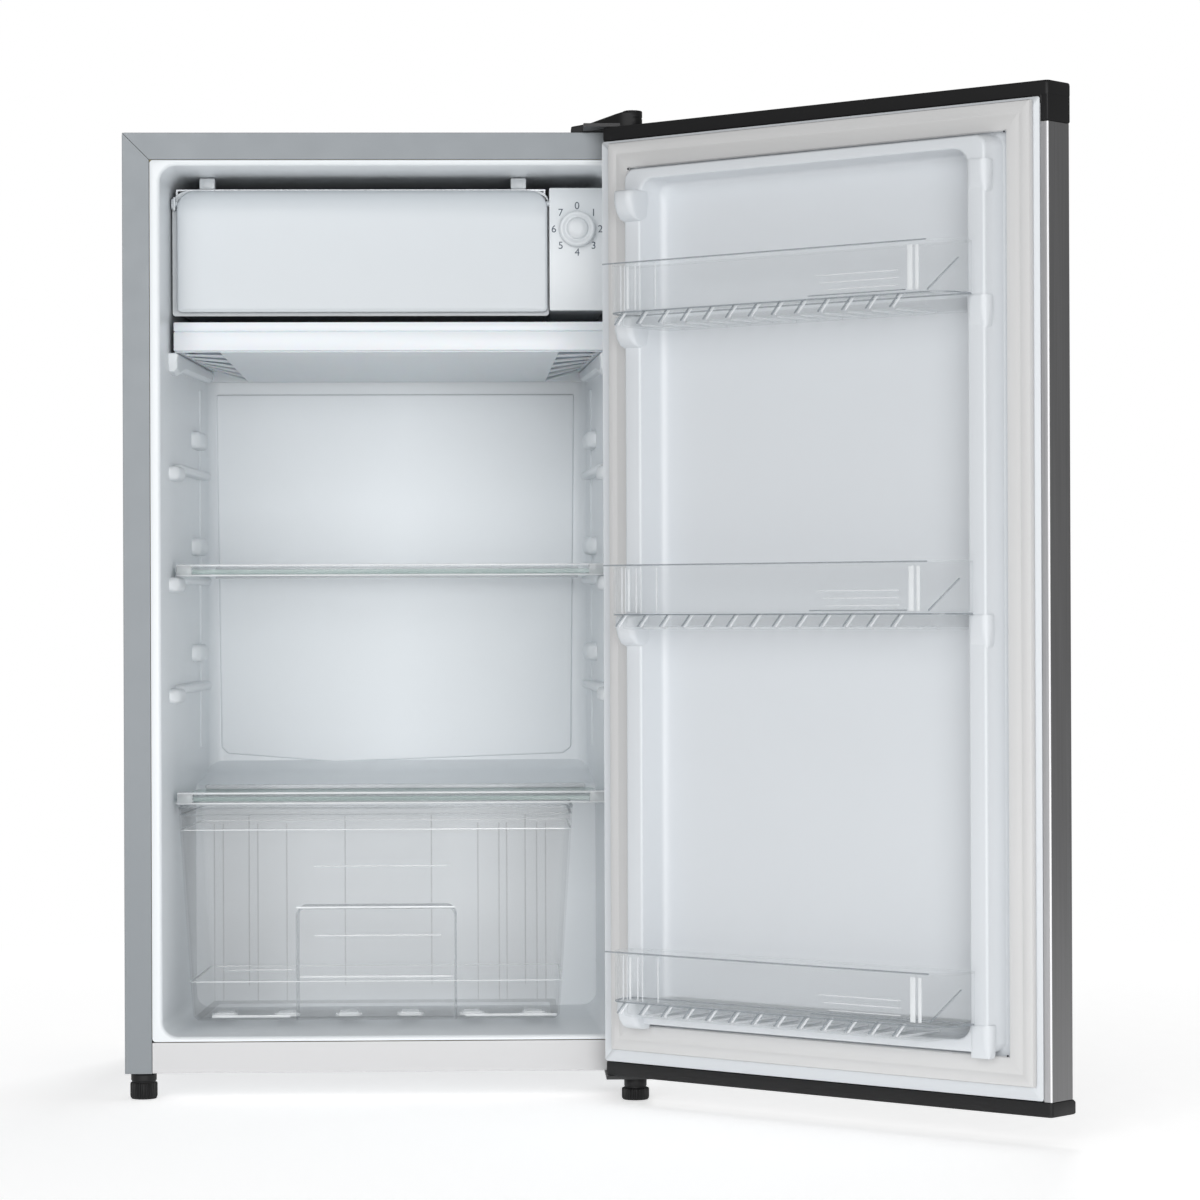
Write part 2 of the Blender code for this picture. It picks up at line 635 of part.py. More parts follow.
def inner_liner():
    liner = liner_block("inner_liner", LINER_WALL, 0.0, "white_plastic")
    rim_side = HALF_WIDTH - FRONT_FLANGE - GAP
    rim = plate("liner_rim", rounded_rectangle((-rim_side, RIM_BOTTOM),
                                               (rim_side, CABINET_TOP - FRONT_FLANGE - GAP), [0, 0, 0, 0]),
                0, RIM_THICKNESS, "Y", cutter=True)
    join(liner, rim)
    cut(liner, liner_block("liner_hollow", 0.0, -LIP_OPENING, cutter=True))
    levels = [
        (UPPER_SHELF_Z + SHELF_PITCH, SHELF_BACK),
        (UPPER_SHELF_Z, SHELF_BACK),
        (UPPER_SHELF_Z - SHELF_PITCH, SHELF_BACK),
        (LOWER_SHELF_Z, CRISPER_BACK + 1 * MM),
    ]
    runner_start = SHELF_FRONT + SHELF_TRIM_DEPTH + RUNNER_START_GAP
    index = 0
    for glass_bottom, shelf_back in levels:
        for side in (-1, 1):
            index += 1
            top = glass_bottom - GAP
            above_crisper = top - CRISPER_TOP - 1 * MM
            height = min(RUNNER_HEIGHT, above_crisper)
            wall_rib(liner, index, side, top, runner_start, shelf_back - REAR_TRIM_DEPTH - RUNNER_END_GAP,
                     height)
            if shelf_back == SHELF_BACK:
                wall_rib(liner, f"bump_{index}", side, top + BUMP_RISE + BUMP_HEIGHT, BUMP_START, BUMP_END,
                         BUMP_HEIGHT)
    for side in (-1, 1):
        index += 1
        wall_rib(liner, index, side, TRAY_BOTTOM - GAP, TRAY_FRONT, TRAY_BACK)


def cabinet_foam():
    """Insulation between shell and liner, clear of the rail and of the compressor bay."""
    side = HALF_WIDTH - SHEET - GAP
    back = CABINET_DEPTH - CONDENSER_SPACE
    foam = box("cabinet_foam", (-side, RIM_THICKNESS + GAP, PAN_TOP + GAP),
               (side, back, CABINET_TOP - SHEET - GAP), "foam")
    wide = side + MM
    cut(
        foam,
        liner_block("foam_hollow", LINER_WALL + GAP, -LIP_OPENING, cutter=True),
        box("foam_rail_space", (-wide, -MM, 0), (wide, RAIL_DEPTH + GAP, RIM_BOTTOM - GAP / 2),
            cutter=True),
        box("foam_bay_space", (-wide, BAY_FRONT - GAP, 0), (wide, back + MM, BAY_TOP + SHEET + GAP),
            cutter=True),
    )


def bay_panel():
    """The bent sheet between the insulation and the compressor bay."""
    outline = [
        (BAY_FRONT, PAN_TOP + GAP),
        (BAY_FRONT + SHEET, PAN_TOP + GAP),
        (BAY_FRONT + SHEET, BAY_TOP),
        (CABINET_DEPTH - CONDENSER_SPACE, BAY_TOP),
        (CABINET_DEPTH - CONDENSER_SPACE, BAY_TOP + SHEET),
        (BAY_FRONT, BAY_TOP + SHEET),
    ]
    side = HALF_WIDTH - SHEET - GAP
    plate("bay_panel", outline, -side, side, "X", "zinc_sheet")


def condenser_y():
    return CABINET_DEPTH - SHEET - GAP - TUBE_RADIUS


def condenser_ends():
    """Where the condenser starts, and the height of its top run."""
    return -(OPENING_HALF - 25 * MM), STEP_TOP + 30 * MM, OPENING_TOP - 30 * MM


def condenser_tube():
    """A serpentine of level runs joined by half-round bends, whose end comes back down to the drier."""
    start_x, low, high = condenser_ends()
    pitch = (high - low) / (CONDENSER_RUNS - 1)
    reach = -start_x
    y = condenser_y()
    points = []
    for run in range(CONDENSER_RUNS):
        z = low + run * pitch
        side = 1 if run % 2 == 0 else -1
        points.append((-side * reach, y, z))
        points.append((side * reach, y, z))
        if run < CONDENSER_RUNS - 1:
            bend = arc((0, z + pitch / 2), pitch / 2, -90, 90, 6)[1:-1]
            points += [(side * (reach + u), y, v) for u, v in bend]
    down = HALF_WIDTH - SHEET - 2 * TUBE_RADIUS - MM
    drier = drier_top()
    points += route([(reach, y, high), (down, y, high), (down, y, drier.z + 40 * MM),
                     (drier.x, drier.y, drier.z + 20 * MM), (drier.x, drier.y, drier.z + GAP)], 8 * MM)[1:]
    tube("condenser_tube", points, TUBE_RADIUS, "copper")


# ---------------------------------------------------------------- compressor bay


def compressor_place():
    """The middle of the compressor's underside."""
    return Vector((COMPRESSOR_X, (BAY_FRONT + SHEET + CABINET_DEPTH) / 2,
                   PAN_TOP + 3 * GAP + GROMMET_HEIGHT + 2 * MM))


def drier_top():
    return Vector((HALF_WIDTH - DRIER_INSET, compressor_place().y + DRIER_BACK, DRIER_Z))


def compressor():
    """The hermetic pot, turned and open underneath, over its foot plate on four rubber grommets."""
    r, h, wall = COMPRESSOR_RADIUS, COMPRESSOR_HEIGHT, COMPRESSOR_WALL
    crown = COMPRESSOR_CROWN
    seam = 0.45 * h
    place = compressor_place()
    dome = [(r * math.sin(a),
             h - crown + crown * math.cos(a)) for a in (math.pi / 2 * i / 5 for i in range(6))]
    hollow = [(x * (r - wall) / r, z - wall) for x, z in dome]
    flange = [(r, seam + 2 * MM), (r + COMPRESSOR_RIM, seam + MM), (r + COMPRESSOR_RIM, seam - MM),
              (r, seam - 2 * MM)]
    profile = dome + flange + [(r - 5 * MM, 0), (r - 5 * MM - wall, 0), (r - wall, seam)] + hollow[::-1]
    turned("compressor", profile, place, "black_steel", steps=28)
    reach_x, reach_y = COMPRESSOR_PLATE_X, COMPRESSOR_PLATE_Y
    box("compressor_plate", place - Vector((reach_x, reach_y, COMPRESSOR_PLATE_THICKNESS + GAP)),
        place + Vector((reach_x, reach_y, -GAP)), "black_steel")
    for index, (sx, sy) in enumerate(((-1, -1), (1, -1), (1, 1), (-1, 1)), start=1):
        x, y = place.x + sx * (reach_x - GROMMET_INSET), place.y + sy * (reach_y - GROMMET_INSET)
        top = place.z - COMPRESSOR_PLATE_THICKNESS - 2 * GAP
        cylinder(f"compressor_grommet_{index}", (x, y, top - GROMMET_HEIGHT), (x, y, top), GROMMET_RADIUS,
                 "rubber",
                 sides=16)


def relay_cover():
    place = compressor_place()
    near = place.x + COMPRESSOR_RADIUS + COMPRESSOR_RIM + GAP
    box("relay_cover", (near, place.y - RELAY_HALF_WIDTH, place.z + RELAY_LOW),
        (near + RELAY_DEPTH, place.y + RELAY_HALF_WIDTH,
         place.z + RELAY_HIGH), "black_plastic", bevel=2 * MM, segments=1)


def filter_drier():
    """A copper cylinder with drawn-in ends."""
    r, length, neck = DRIER_RADIUS, DRIER_LENGTH, DRIER_NECK
    profile = [(0, 0), (neck, 0), (neck, -DRIER_NECK_LENGTH), (r, -DRIER_SHOULDER),
               (r, DRIER_SHOULDER - length),
               (neck, DRIER_NECK_LENGTH - length), (neck, -length), (0, -length)]
    turned("filter_drier", profile, drier_top(), "copper", steps=16)
    capillary_tube(drier_top() - Vector((0, 0, length + GAP)))


def capillary_tube(start):
    """From under the drier up to the insulation over the bay."""
    left = start + Vector((-22 * MM, -26 * MM, -12 * MM))
    points = route([start, start + Vector((0, 0, -12 * MM)), left,
                    Vector((left.x, left.y, BAY_TOP - GAP))], 5 * MM)
    tube("capillary_tube", points, CAPILLARY_RADIUS, "copper", resolution=1)


def discharge_tube():
    """From the compressor's left side up to the start of the condenser."""
    place = compressor_place()
    start_x, low, _ = condenser_ends()
    y = condenser_y()
    height = place.z + 80 * MM
    side = start_x - 16 * MM
    points = route([(place.x - COMPRESSOR_RADIUS - 2 * GAP, place.y, height), (side, place.y, height),
                    (side, y, height + 20 * MM), (side, y, low), (start_x - GAP, y, low)], 7 * MM)
    tube("discharge_tube", points, TUBE_RADIUS, "copper")


def suction_tube():
    """From the insulation over the bay down to the compressor's front side."""
    place = compressor_place()
    x = place.x - COMPRESSOR_RADIUS - 28 * MM
    height = place.z + 66 * MM
    near = place.x - COMPRESSOR_RADIUS - 2 * GAP
    points = route([(x, place.y - 30 * MM, BAY_TOP - GAP), (x, place.y - 30 * MM, height + 16 * MM),
                    (x, place.y - 8 * MM, height), (near, place.y - 8 * MM, height)], 6 * MM)
    tube("suction_tube", points, TUBE_RADIUS + 0.6 * MM, "copper")


# ---------------------------------------------------------------- freezer compartment


def freezer_left(y):
    """The freezer box's left side, which follows the liner."""
    return -liner_half(y) + 4 * MM


def evaporator():
    """The aluminium box, open in front and drawn in along the liner."""
    front, back = FRAME_BACK + GAP, EVAPORATOR_BACK
    right = FREEZER_RIGHT - 1.5 * MM
    low, high = FLAP_BOTTOM + 1.8 * MM, FLAP_TOP + 2 * MM
    t = EVAPORATOR_SHEET

    def plan(front_y, back_y, inset):
        return [(freezer_left(front_y) + inset, front_y), (right - inset, front_y), (right - inset, back_y),
                (freezer_left(back_y) + inset, back_y)]

    case = plate("evaporator", plan(front, back, 0), low, high, "Z", "aluminium")
    cut(case, plate("evaporator_hollow", plan(front - 5 * MM, back - t, t), low + t, high - t, "Z",
                    cutter=True))


def evaporator_clips():
    """Two clips hang the box from the ceiling."""
    low = FLAP_TOP + 2 * MM + GAP
    start = FRAME_BACK + GAP
    end = start + CLIP_DEPTH
    high = ceiling(end) - GAP
    places = {"evaporator_clip_left": FREEZER_LEFT + CLIP_INSET,
              "evaporator_clip_right": FREEZER_RIGHT - CLIP_INSET}
    for name, x in places.items():
        box(name, (x - CLIP_HALF_WIDTH, start, low), (x + CLIP_HALF_WIDTH, end, high), "white_plastic",
            bevel=MM, segments=1)


def freezer_frame():
    """The plastic surround behind the flap, with the ear that takes the flap's left pin."""
    left = freezer_left(FRAME_FRONT) - FRAME_SIDE
    right = THERMOSTAT_LEFT - GAP
    low, high = FLAP_BOTTOM - FRAME_DROP, FLAP_TOP + FRAME_RISE
    swing = math.hypot(FLAP_BACK - FLAP_PIN_Y, FLAP_PIN_DROP)
    frame = box("freezer_frame", (left, FRAME_FRONT, low), (right, FRAME_BACK, high), "white_plastic")
    ear_left = FREEZER_LEFT - 1.2 * MM - EAR_THICKNESS
    ear = box("ear", (ear_left, FLAP_PIN_Y - EAR_REACH, FLAP_PIN_Z - EAR_HALF_HEIGHT),
              (ear_left + EAR_THICKNESS, FRAME_BACK - MM, FLAP_PIN_Z + EAR_HALF_HEIGHT), cutter=True)
    join(frame, ear)
    cut(
        frame,
        box("frame_mouth", (FREEZER_LEFT - 0.5 * MM, FRAME_FRONT - MM, FLAP_BOTTOM + MOUTH_RISE),
            (FREEZER_RIGHT + 0.6 * MM, FRAME_BACK + MM, FLAP_PIN_Z + swing + 0.4 * MM), cutter=True),
        cylinder("ear_bore", (ear_left - OVERCUT, FLAP_PIN_Y, FLAP_PIN_Z),
                 (FREEZER_LEFT, FLAP_PIN_Y, FLAP_PIN_Z),
                 FLAP_PIN_RADIUS + PIN_CLEARANCE, cutter=True, sides=16),
    )


def freezer_flap():
    """The flap, hollow at the back, with a pin at each end near its top."""
    outline = rounded_rectangle(
        (FREEZER_LEFT, FLAP_BOTTOM), (FREEZER_RIGHT, FLAP_TOP),
        [FLAP_BOTTOM_RADIUS, FLAP_BOTTOM_RADIUS, FLAP_TOP_RADIUS, FLAP_TOP_RADIUS])
    skin = FLAP_SKIN
    inner_radius = FLAP_TOP_RADIUS - skin
    hollow = rounded_rectangle(
        (FREEZER_LEFT + skin, FLAP_BOTTOM + skin), (FREEZER_RIGHT - skin, FLAP_TOP - skin),
        [1.5 * MM, 1.5 * MM, inner_radius, inner_radius])
    flap = plate("freezer_flap", outline, FLAP_FRONT, FLAP_BACK, "Y", "white_plastic")
    cut(flap, plate("flap_hollow", hollow, FLAP_FRONT + skin, FLAP_BACK + MM, "Y", cutter=True))
    for side, x in ((-1, FREEZER_LEFT), (1, FREEZER_RIGHT)):
        join(flap, cylinder(f"flap_pin_{side}", (x - side * 1.5 * MM, FLAP_PIN_Y, FLAP_PIN_Z),
                            (x + side * FLAP_PIN_LENGTH, FLAP_PIN_Y, FLAP_PIN_Z), FLAP_PIN_RADIUS,
                            cutter=True, sides=16))
    flap.parent = flap_pivot
    flap.matrix_parent_inverse = Matrix.Translation(-flap_pivot.location)


def thermostat_housing():
    """The housing beside the flap, open at the back, bored for the shaft and for the flap's right pin."""
    t = THERMOSTAT_WALL
    low = FLAP_BOTTOM + HOUSING_RISE
    side_gap = liner_half(THERMOSTAT_FRONT) - THERMOSTAT_LEFT - THERMOSTAT_WIDTH

    def plan(front_y, back_y, inset):
        return [(THERMOSTAT_LEFT + inset, front_y), (liner_half(front_y) - side_gap - inset, front_y),
                (liner_half(back_y) - side_gap - inset, back_y), (THERMOSTAT_LEFT + inset, back_y)]

    case = plate("thermostat_housing", plan(THERMOSTAT_FRONT, THERMOSTAT_BACK, 0), low, THERMOSTAT_TOP, "Z",
                 "white_plastic")
    cut(
        case,
        plate("housing_hollow", plan(THERMOSTAT_FRONT + t, THERMOSTAT_BACK + OVERCUT, t), low + t,
              THERMOSTAT_TOP - t, "Z", cutter=True),
        cylinder("shaft_bore", (KNOB_X, THERMOSTAT_FRONT - MM, KNOB_Z),
                 (KNOB_X, THERMOSTAT_FRONT + OVERCUT, KNOB_Z),
                 SHAFT_RADIUS + GAP, cutter=True, sides=16),
        cylinder("pin_bore", (THERMOSTAT_LEFT - MM, FLAP_PIN_Y, FLAP_PIN_Z),
                 (THERMOSTAT_LEFT + t + MM, FLAP_PIN_Y, FLAP_PIN_Z), FLAP_PIN_RADIUS + PIN_CLEARANCE,
                 cutter=True, sides=16),
    )


def thermostat_body():
    """The control behind the housing's front wall, with its shaft."""
    front = THERMOSTAT_FRONT + THERMOSTAT_WALL + GAP
    body = box("thermostat_body", (KNOB_X - CONTROL_HALF_WIDTH, front, KNOB_Z - CONTROL_HALF_HEIGHT),
               (KNOB_X + CONTROL_HALF_WIDTH, front + CONTROL_DEPTH,
                KNOB_Z + CONTROL_HALF_HEIGHT), "zinc_sheet", bevel=MM, segments=1)
    join(body, cylinder("thermostat_shaft", (KNOB_X, THERMOSTAT_FRONT - KNOB_DEPTH + 2 * MM, KNOB_Z),
                        (KNOB_X, front + 2 * MM, KNOB_Z), SHAFT_RADIUS, cutter=True, sides=16))


def thermostat_knob():
    """Turned about its shaft, with a bore from behind."""
    bore = SHAFT_RADIUS + GAP
    front = KNOB_DEPTH + KNOB_BOSS_DEPTH
    profile = [(0, front), (KNOB_BOSS_RADIUS - MM, front), (KNOB_BOSS_RADIUS, front - MM),
               (KNOB_BOSS_RADIUS, KNOB_DEPTH), (KNOB_RADIUS - KNOB_EDGE, KNOB_DEPTH),
               (KNOB_RADIUS, KNOB_DEPTH - KNOB_EDGE), (KNOB_RADIUS, 0), (bore, 0), (bore, KNOB_DEPTH - MM),
               (0, KNOB_DEPTH - MM)]
    knob = turned("thermostat_knob", profile, (KNOB_X, THERMOSTAT_FRONT - GAP, KNOB_Z), "white_plastic",
                  steps=32)
    knob.rotation_euler.x = math.radians(90)


def drip_tray():
    """A shallow pan under the freezer box, with a deeper trough down its middle and a front fascia."""
    t = TRAY_WALL
    behind = TRAY_FRONT + TRAY_FASCIA
    low, high = TRAY_BOTTOM, TRAY_TOP - 4 * MM
    side_gap = liner_half(TRAY_FRONT) - TRAY_HALF_WIDTH

    def plan(front_y, back_y, inset):
        half_front = liner_half(front_y) - side_gap - inset
        half_back = liner_half(back_y) - side_gap - inset
        return [(-half_front, front_y), (half_front, front_y), (half_back, back_y), (-half_back, back_y)]

    def trough(name, inset, rise):
        half = TRAY_HALF_WIDTH - TRAY_SIDE - inset
        outline = [(behind - 2 * MM, low - MM + inset), (TRAY_BACK - inset, low - TRAY_FALL + inset),
                   (TRAY_BACK - inset, low + rise), (behind - 2 * MM, low + rise)]
        return plate(name, outline, -half, half, "X", cutter=True)

    tray = plate("drip_tray", plan(behind - 2 * MM, TRAY_BACK, 0), low, high, "Z", "tray_plastic")
    fascia = box("tray_fascia", (-TRAY_HALF_WIDTH, TRAY_FRONT, TRAY_TOP - TRAY_HEIGHT),
                 (TRAY_HALF_WIDTH, behind, TRAY_TOP), cutter=True, bevel=MM, segments=1)
    join(tray, trough("tray_trough", 0, t), fascia)
    cut(tray, plate("tray_hollow", plan(behind, TRAY_BACK - t, t), low + t, high + OVERCUT, "Z",
                    cutter=True),
        trough("tray_trough_hollow", t, 3 * t))


# ---------------------------------------------------------------- shelves and crisper


def glass_shelf(name, bottom, back):
    """A glass panel that follows the liner's sides, in a front trim and a rear trim."""

    def plan(front_y, back_y, inset):
        half_front = liner_half(front_y) - SHELF_SIDE_GAP - inset
        half_back = liner_half(back_y) - SHELF_SIDE_GAP - inset
        return [(-half_front, front_y), (half_front, front_y), (half_back, back_y), (-half_back, back_y)]

    plate(name + "_glass", plan(SHELF_FRONT + TRIM_GRIP, back - 3 * MM, 0), bottom, bottom + GLASS, "Z",
          "glass")
    trim_back = SHELF_FRONT + SHELF_TRIM_DEPTH
    trims = (
        (name + "_front_trim", SHELF_FRONT, trim_back, liner_half(trim_back) - SHELF_SIDE_GAP,
         SHELF_FRONT + TRIM_GRIP - GAP, trim_back + MM),
        (name + "_rear_trim", back - REAR_TRIM_DEPTH, back, liner_half(back) - RUNNER_WIDTH - MM,
         back - REAR_TRIM_DEPTH - MM, back - 3 * MM + GAP),
    )
    for trim_name, front, rear, half, slot_front, slot_rear in trims:
        low = bottom - (SHELF_TRIM_HEIGHT - GLASS) / 3
        trim = box(trim_name, (-half, front, low), (half, rear, low + SHELF_TRIM_HEIGHT), "white_plastic",
                   bevel=MM, segments=1)
        cut(trim, box(trim_name + "_slot", (-half - MM, slot_front, bottom - GAP),
                      (half + MM, slot_rear, bottom + GLASS + GAP), cutter=True))


def crisper_plan(z, inset):
    """The crisper's four corners at a height: its sides lean in towards the bottom."""
    lean = CRISPER_TAPER * (CRISPER_TOP - z) / (CRISPER_TOP - CRISPER_BOTTOM)
    side_gap = CRISPER_LEFT + liner_half(CRISPER_FRONT)

    def left(y):
        return side_gap - liner_half(y) + lean + inset

    right = CRISPER_RIGHT - lean - inset
    front, back = CRISPER_FRONT + inset, CRISPER_BACK - inset - lean / 2
    return [(left(front), front), (right, front), (right, back), (left(back), back)]


def crisper_drawer():
    """A tapered bin on two skids, with a finger pocket in its front."""
    t = CRISPER_WALL
    above = CRISPER_TOP + OVERCUT
    pocket_x = (CRISPER_LEFT + CRISPER_RIGHT) / 2
    low, high = CRISPER_BOTTOM, CRISPER_BOTTOM + POCKET_HEIGHT
    half = POCKET_WIDTH / 2
    drawer = loft_box("crisper_drawer", crisper_plan(CRISPER_BOTTOM, 0), crisper_plan(CRISPER_TOP, 0),
                      CRISPER_BOTTOM, CRISPER_TOP, CRISPER_EDGE, "clear_plastic")
    for name, x in (("skid_left", CRISPER_LEFT + SKID_INSET), ("skid_right", CRISPER_RIGHT - SKID_INSET)):
        join(drawer, box(name, (x - SKID_HALF_WIDTH, CRISPER_FRONT + SKID_FRONT_GAP, LINER_FLOOR + GAP),
                         (x + SKID_HALF_WIDTH, CRISPER_BACK - SKID_BACK_GAP,
                          CRISPER_BOTTOM + MM), cutter=True))
    hollow = loft_box("crisper_hollow", crisper_plan(CRISPER_BOTTOM + t, t), crisper_plan(above, t),
                      CRISPER_BOTTOM + t, above, CRISPER_EDGE - MM, cutter=True)
    cut(hollow, box("pocket_walls", (pocket_x - half - t, CRISPER_FRONT - OVERCUT, low - OVERCUT),
                    (pocket_x + half + t, CRISPER_FRONT + POCKET_DEPTH + t, high + t), cutter=True))
    cut(drawer, hollow, box("pocket", (pocket_x - half, CRISPER_FRONT - OVERCUT, low - OVERCUT),
                            (pocket_x + half, CRISPER_FRONT + POCKET_DEPTH, high), cutter=True))


# ---------------------------------------------------------------- hinges and feet


def screw(name, x, y, head_side, length, head_up):
    """A pan-head screw whose head's inner face is at head_side."""
    sign = 1 if head_up else -1
    body = cylinder(name, (x, y, head_side), (x, y, head_side + sign * SCREW_HEAD_HEIGHT), SCREW_HEAD,
                    "bright_steel",
                    sides=16)
    join(body, cylinder(name + "_shank", (x, y, head_side + sign * MM), (x, y, head_side - sign * length),
                        SCREW_RADIUS, cutter=True, sides=12))


def upper_screw_places():
    return [(HINGE_X - left, UPPER_SCREW_Y) for left in UPPER_SCREWS_LEFT]


def lower_screw_places():
    return [(HINGE_X - LOWER_SCREW_LEFT, RAIL_DEPTH + back) for back in LOWER_SCREWS_BACK]


def screw_bores(thing, places, low, high):
    for index, (x, y) in enumerate(places):
        cut(thing, cylinder(f"{thing.name}_bore_{index}", (x, y, low), (x, y, high), SCREW_RADIUS + GAP,
                            cutter=True, sides=12))


def upper_hinge():
    """The plate on top of the cabinet with its pin, its screws and its black cover."""
    low = CABINET_TOP + HINGE_PLATE_RISE
    high = low + HINGE_PLATE
    end = BUSH_WALL + HINGE_PIN_RADIUS + 1.4 * MM
    bracket = box("upper_hinge_bracket", (HINGE_X - HINGE_PLATE_LENGTH, HINGE_Y - end, low),
                  (HINGE_X, HINGE_PLATE_BACK, high),
                  "black_steel")
    join(
        bracket,
        cylinder("upper_plate_end", (HINGE_X, HINGE_Y, low), (HINGE_X, HINGE_Y, high), end, cutter=True),
        cylinder("upper_pin", (HINGE_X, HINGE_Y, low - HINGE_PIN_LENGTH), (HINGE_X, HINGE_Y, high - MM),
                 HINGE_PIN_RADIUS, cutter=True),
    )
    screw_bores(bracket, upper_screw_places(), low - MM, high + MM)
    for index, (x, y) in enumerate(upper_screw_places(), start=1):
        screw(f"upper_hinge_screw_{index}", x, y, high + GAP, HINGE_PLATE + UPPER_SCREW_BITE, True)
    upper_hinge_cover(end)


def upper_hinge_cover(plate_end):
    """A wedge over the plate that rises to a round boss over the pin."""
    low = CABINET_TOP + 0.3 * MM
    left = HINGE_X - 52.8 * MM
    t = COVER_WALL
    front, back = HINGE_Y - plate_end - GAP - t, HINGE_PLATE_BACK + GAP + t
    boss = plate_end + GAP + t

    def wedge(inset):
        return [(left + inset, low - inset), (HINGE_X - inset, low - inset),
                (HINGE_X - inset, CABINET_TOP + COVER_HEIGHT - 1.2 * MM - inset),
                (left + inset, CABINET_TOP + COVER_TOE - inset)]

    cover = plate("upper_hinge_cover", wedge(0), front, back, "Y", "black_plastic")
    join(cover, cylinder("cover_boss", (HINGE_X, HINGE_Y, low),
                         (HINGE_X, HINGE_Y, CABINET_TOP + COVER_HEIGHT),
                         boss, cutter=True, sides=32))
    hollow = wedge(t)
    hollow[1] = (HINGE_X, hollow[1][1])
    hollow[2] = (HINGE_X, hollow[2][1])
    cut(
        cover,
        plate("cover_hollow", hollow, front + t, back - t, "Y", cutter=True),
        cylinder("cover_boss_hollow", (HINGE_X, HINGE_Y, low - MM),
                 (HINGE_X, HINGE_Y, CABINET_TOP + COVER_HEIGHT - t), boss - t, cutter=True, sides=32),
    )


def lower_hinge():
    """The plate under the cabinet with its pin, its screws and a bore for the foot's stud."""
    low, high = PLATE_TOP - HINGE_PLATE, PLATE_TOP
    right = HALF_WIDTH - MM
    bracket = box("lower_hinge_bracket", (HINGE_X - LOWER_PLATE_LEFT, HINGE_Y - LOWER_PLATE_FRONT, low),
                  (right, RAIL_DEPTH + LOWER_PLATE_BACK, high), "black_steel")
    join(bracket, cylinder("lower_pin", (HINGE_X, HINGE_Y, low + MM),
                           (HINGE_X, HINGE_Y, high + HINGE_PIN_LENGTH),
                           HINGE_PIN_RADIUS, cutter=True))
    cut(bracket, cylinder("foot_bore", (HINGE_X, HINGE_FOOT_Y, low - MM),
                          (HINGE_X, HINGE_FOOT_Y, high + MM),
                          STUD_RADIUS + GAP, cutter=True, sides=16))
    screw_bores(bracket, lower_screw_places(), low - MM, high + MM)
    for index, (x, y) in enumerate(lower_screw_places(), start=1):
        screw(f"lower_hinge_screw_{index}", x, y, low - GAP, HINGE_PLATE + LOWER_SCREW_BITE, False)


def turned_foot(name, x, y, height, stud_top, shoulder):
    """A levelling foot with its stud; shoulder is the radius of its upper part."""
    r = FOOT_RADIUS
    profile = [(0, stud_top), (STUD_RADIUS, stud_top), (STUD_RADIUS, height), (shoulder, height),
               (shoulder, height * 0.45), (r, height * 0.42), (r, 2.5 * MM), (r - 1.5 * MM, 0), (0, 0)]
    turned(name, profile, (x, y, 0), "black_plastic")


def feet():
    turned_foot("left_front_foot", foot_x(), FRONT_FOOT_Y, FOOT_HEIGHT, CABINET_BOTTOM + STUD_RISE,
                FOOT_RADIUS - 0.6 * MM)
    turned_foot("right_front_foot", HINGE_X, HINGE_FOOT_Y, HINGE_FOOT_HEIGHT, PLATE_TOP,
                FOOT_RADIUS - 2 * MM)
    top = PAN_LOW - GAP
    for name, side in (("left_rear_foot", -1), ("right_rear_foot", 1)):
        profile = [(0, top), (FOOT_RADIUS, top), (FOOT_RADIUS - 2 * MM, 0), (0, 0)]
        turned(name, profile, (side * (HALF_WIDTH - REAR_FOOT_INSET), CABINET_DEPTH - REAR_FOOT_INSET, 0),
               "black_plastic")


# ---------------------------------------------------------------- door, in the frame of its hinge axis


def middle_x():
    """The middle of the compartment, along the closed door."""
    return -HINGE_X


def door_face(name, half, low, high, y0, y1, radius, material=None, cutter=False):
    """A rounded slab centred on the compartment."""
    x = middle_x()
    return plate(name, rounded_rectangle((x - half, low), (x + half, high), [radius] * 4, 3), y0, y1, "Y",
                 material, door, cutter)


def door_form(name, inset, slab_left, slab_right, slab_low, slab_high, back, material=None, cutter=False):
    """The door's inner side as a solid: a slab, the dyke ring standing on it and the recess inside the ring.

    inset draws every face in, for the sheet's own thickness.
    """
    dyke_half = HALF_WIDTH - GASKET_OUTER - GASKET_WIDTH - DYKE_GAP - DYKE_DRAW - inset
    dyke_low = GASKET_LOW + GASKET_WIDTH + DYKE_GAP + inset
    dyke_high = GASKET_HIGH - GASKET_WIDTH - DYKE_GAP - inset
    form = box(name, (slab_left, back, slab_low), (slab_right, DOOR_INNER - inset, slab_high), material,
               door,
               cutter)
    join(form, door_face(name + "_dyke", dyke_half, dyke_low, dyke_high, back, DYKE_TOP - inset, 10 * MM,
                         cutter=True))
    for index, underside in enumerate(list(BIN_UNDERSIDES.values()) + [SPARE_BIN_UNDERSIDE]):
        shoulder = underside + BIN_SHOULDER_RISE - GAP
        for side in (-1, 1):
            outer = dyke_half
            inner = dyke_half - DYKE_WIDTH + 2 * inset
            x0, x1 = sorted((middle_x() + side * inner, middle_x() + side * outer))
            join(form, box(f"{name}_hump_{index}_{side}",
                           (x0, DYKE_TOP - 10 * MM, shoulder - HUMP_HEIGHT + inset),
                           (x1, DYKE_TOP + HUMP_REACH - inset, shoulder - inset), None, door, True))
    cut(form, door_face(name + "_recess", dyke_half - DYKE_WIDTH + 2 * inset,
                        dyke_low + DYKE_BAR - 2 * inset,
                        dyke_high - DYKE_BAR + 2 * inset, RECESS_FLOOR - inset, DYKE_TOP + LIP_OPENING,
                        8 * MM,
                        cutter=True))
    return form


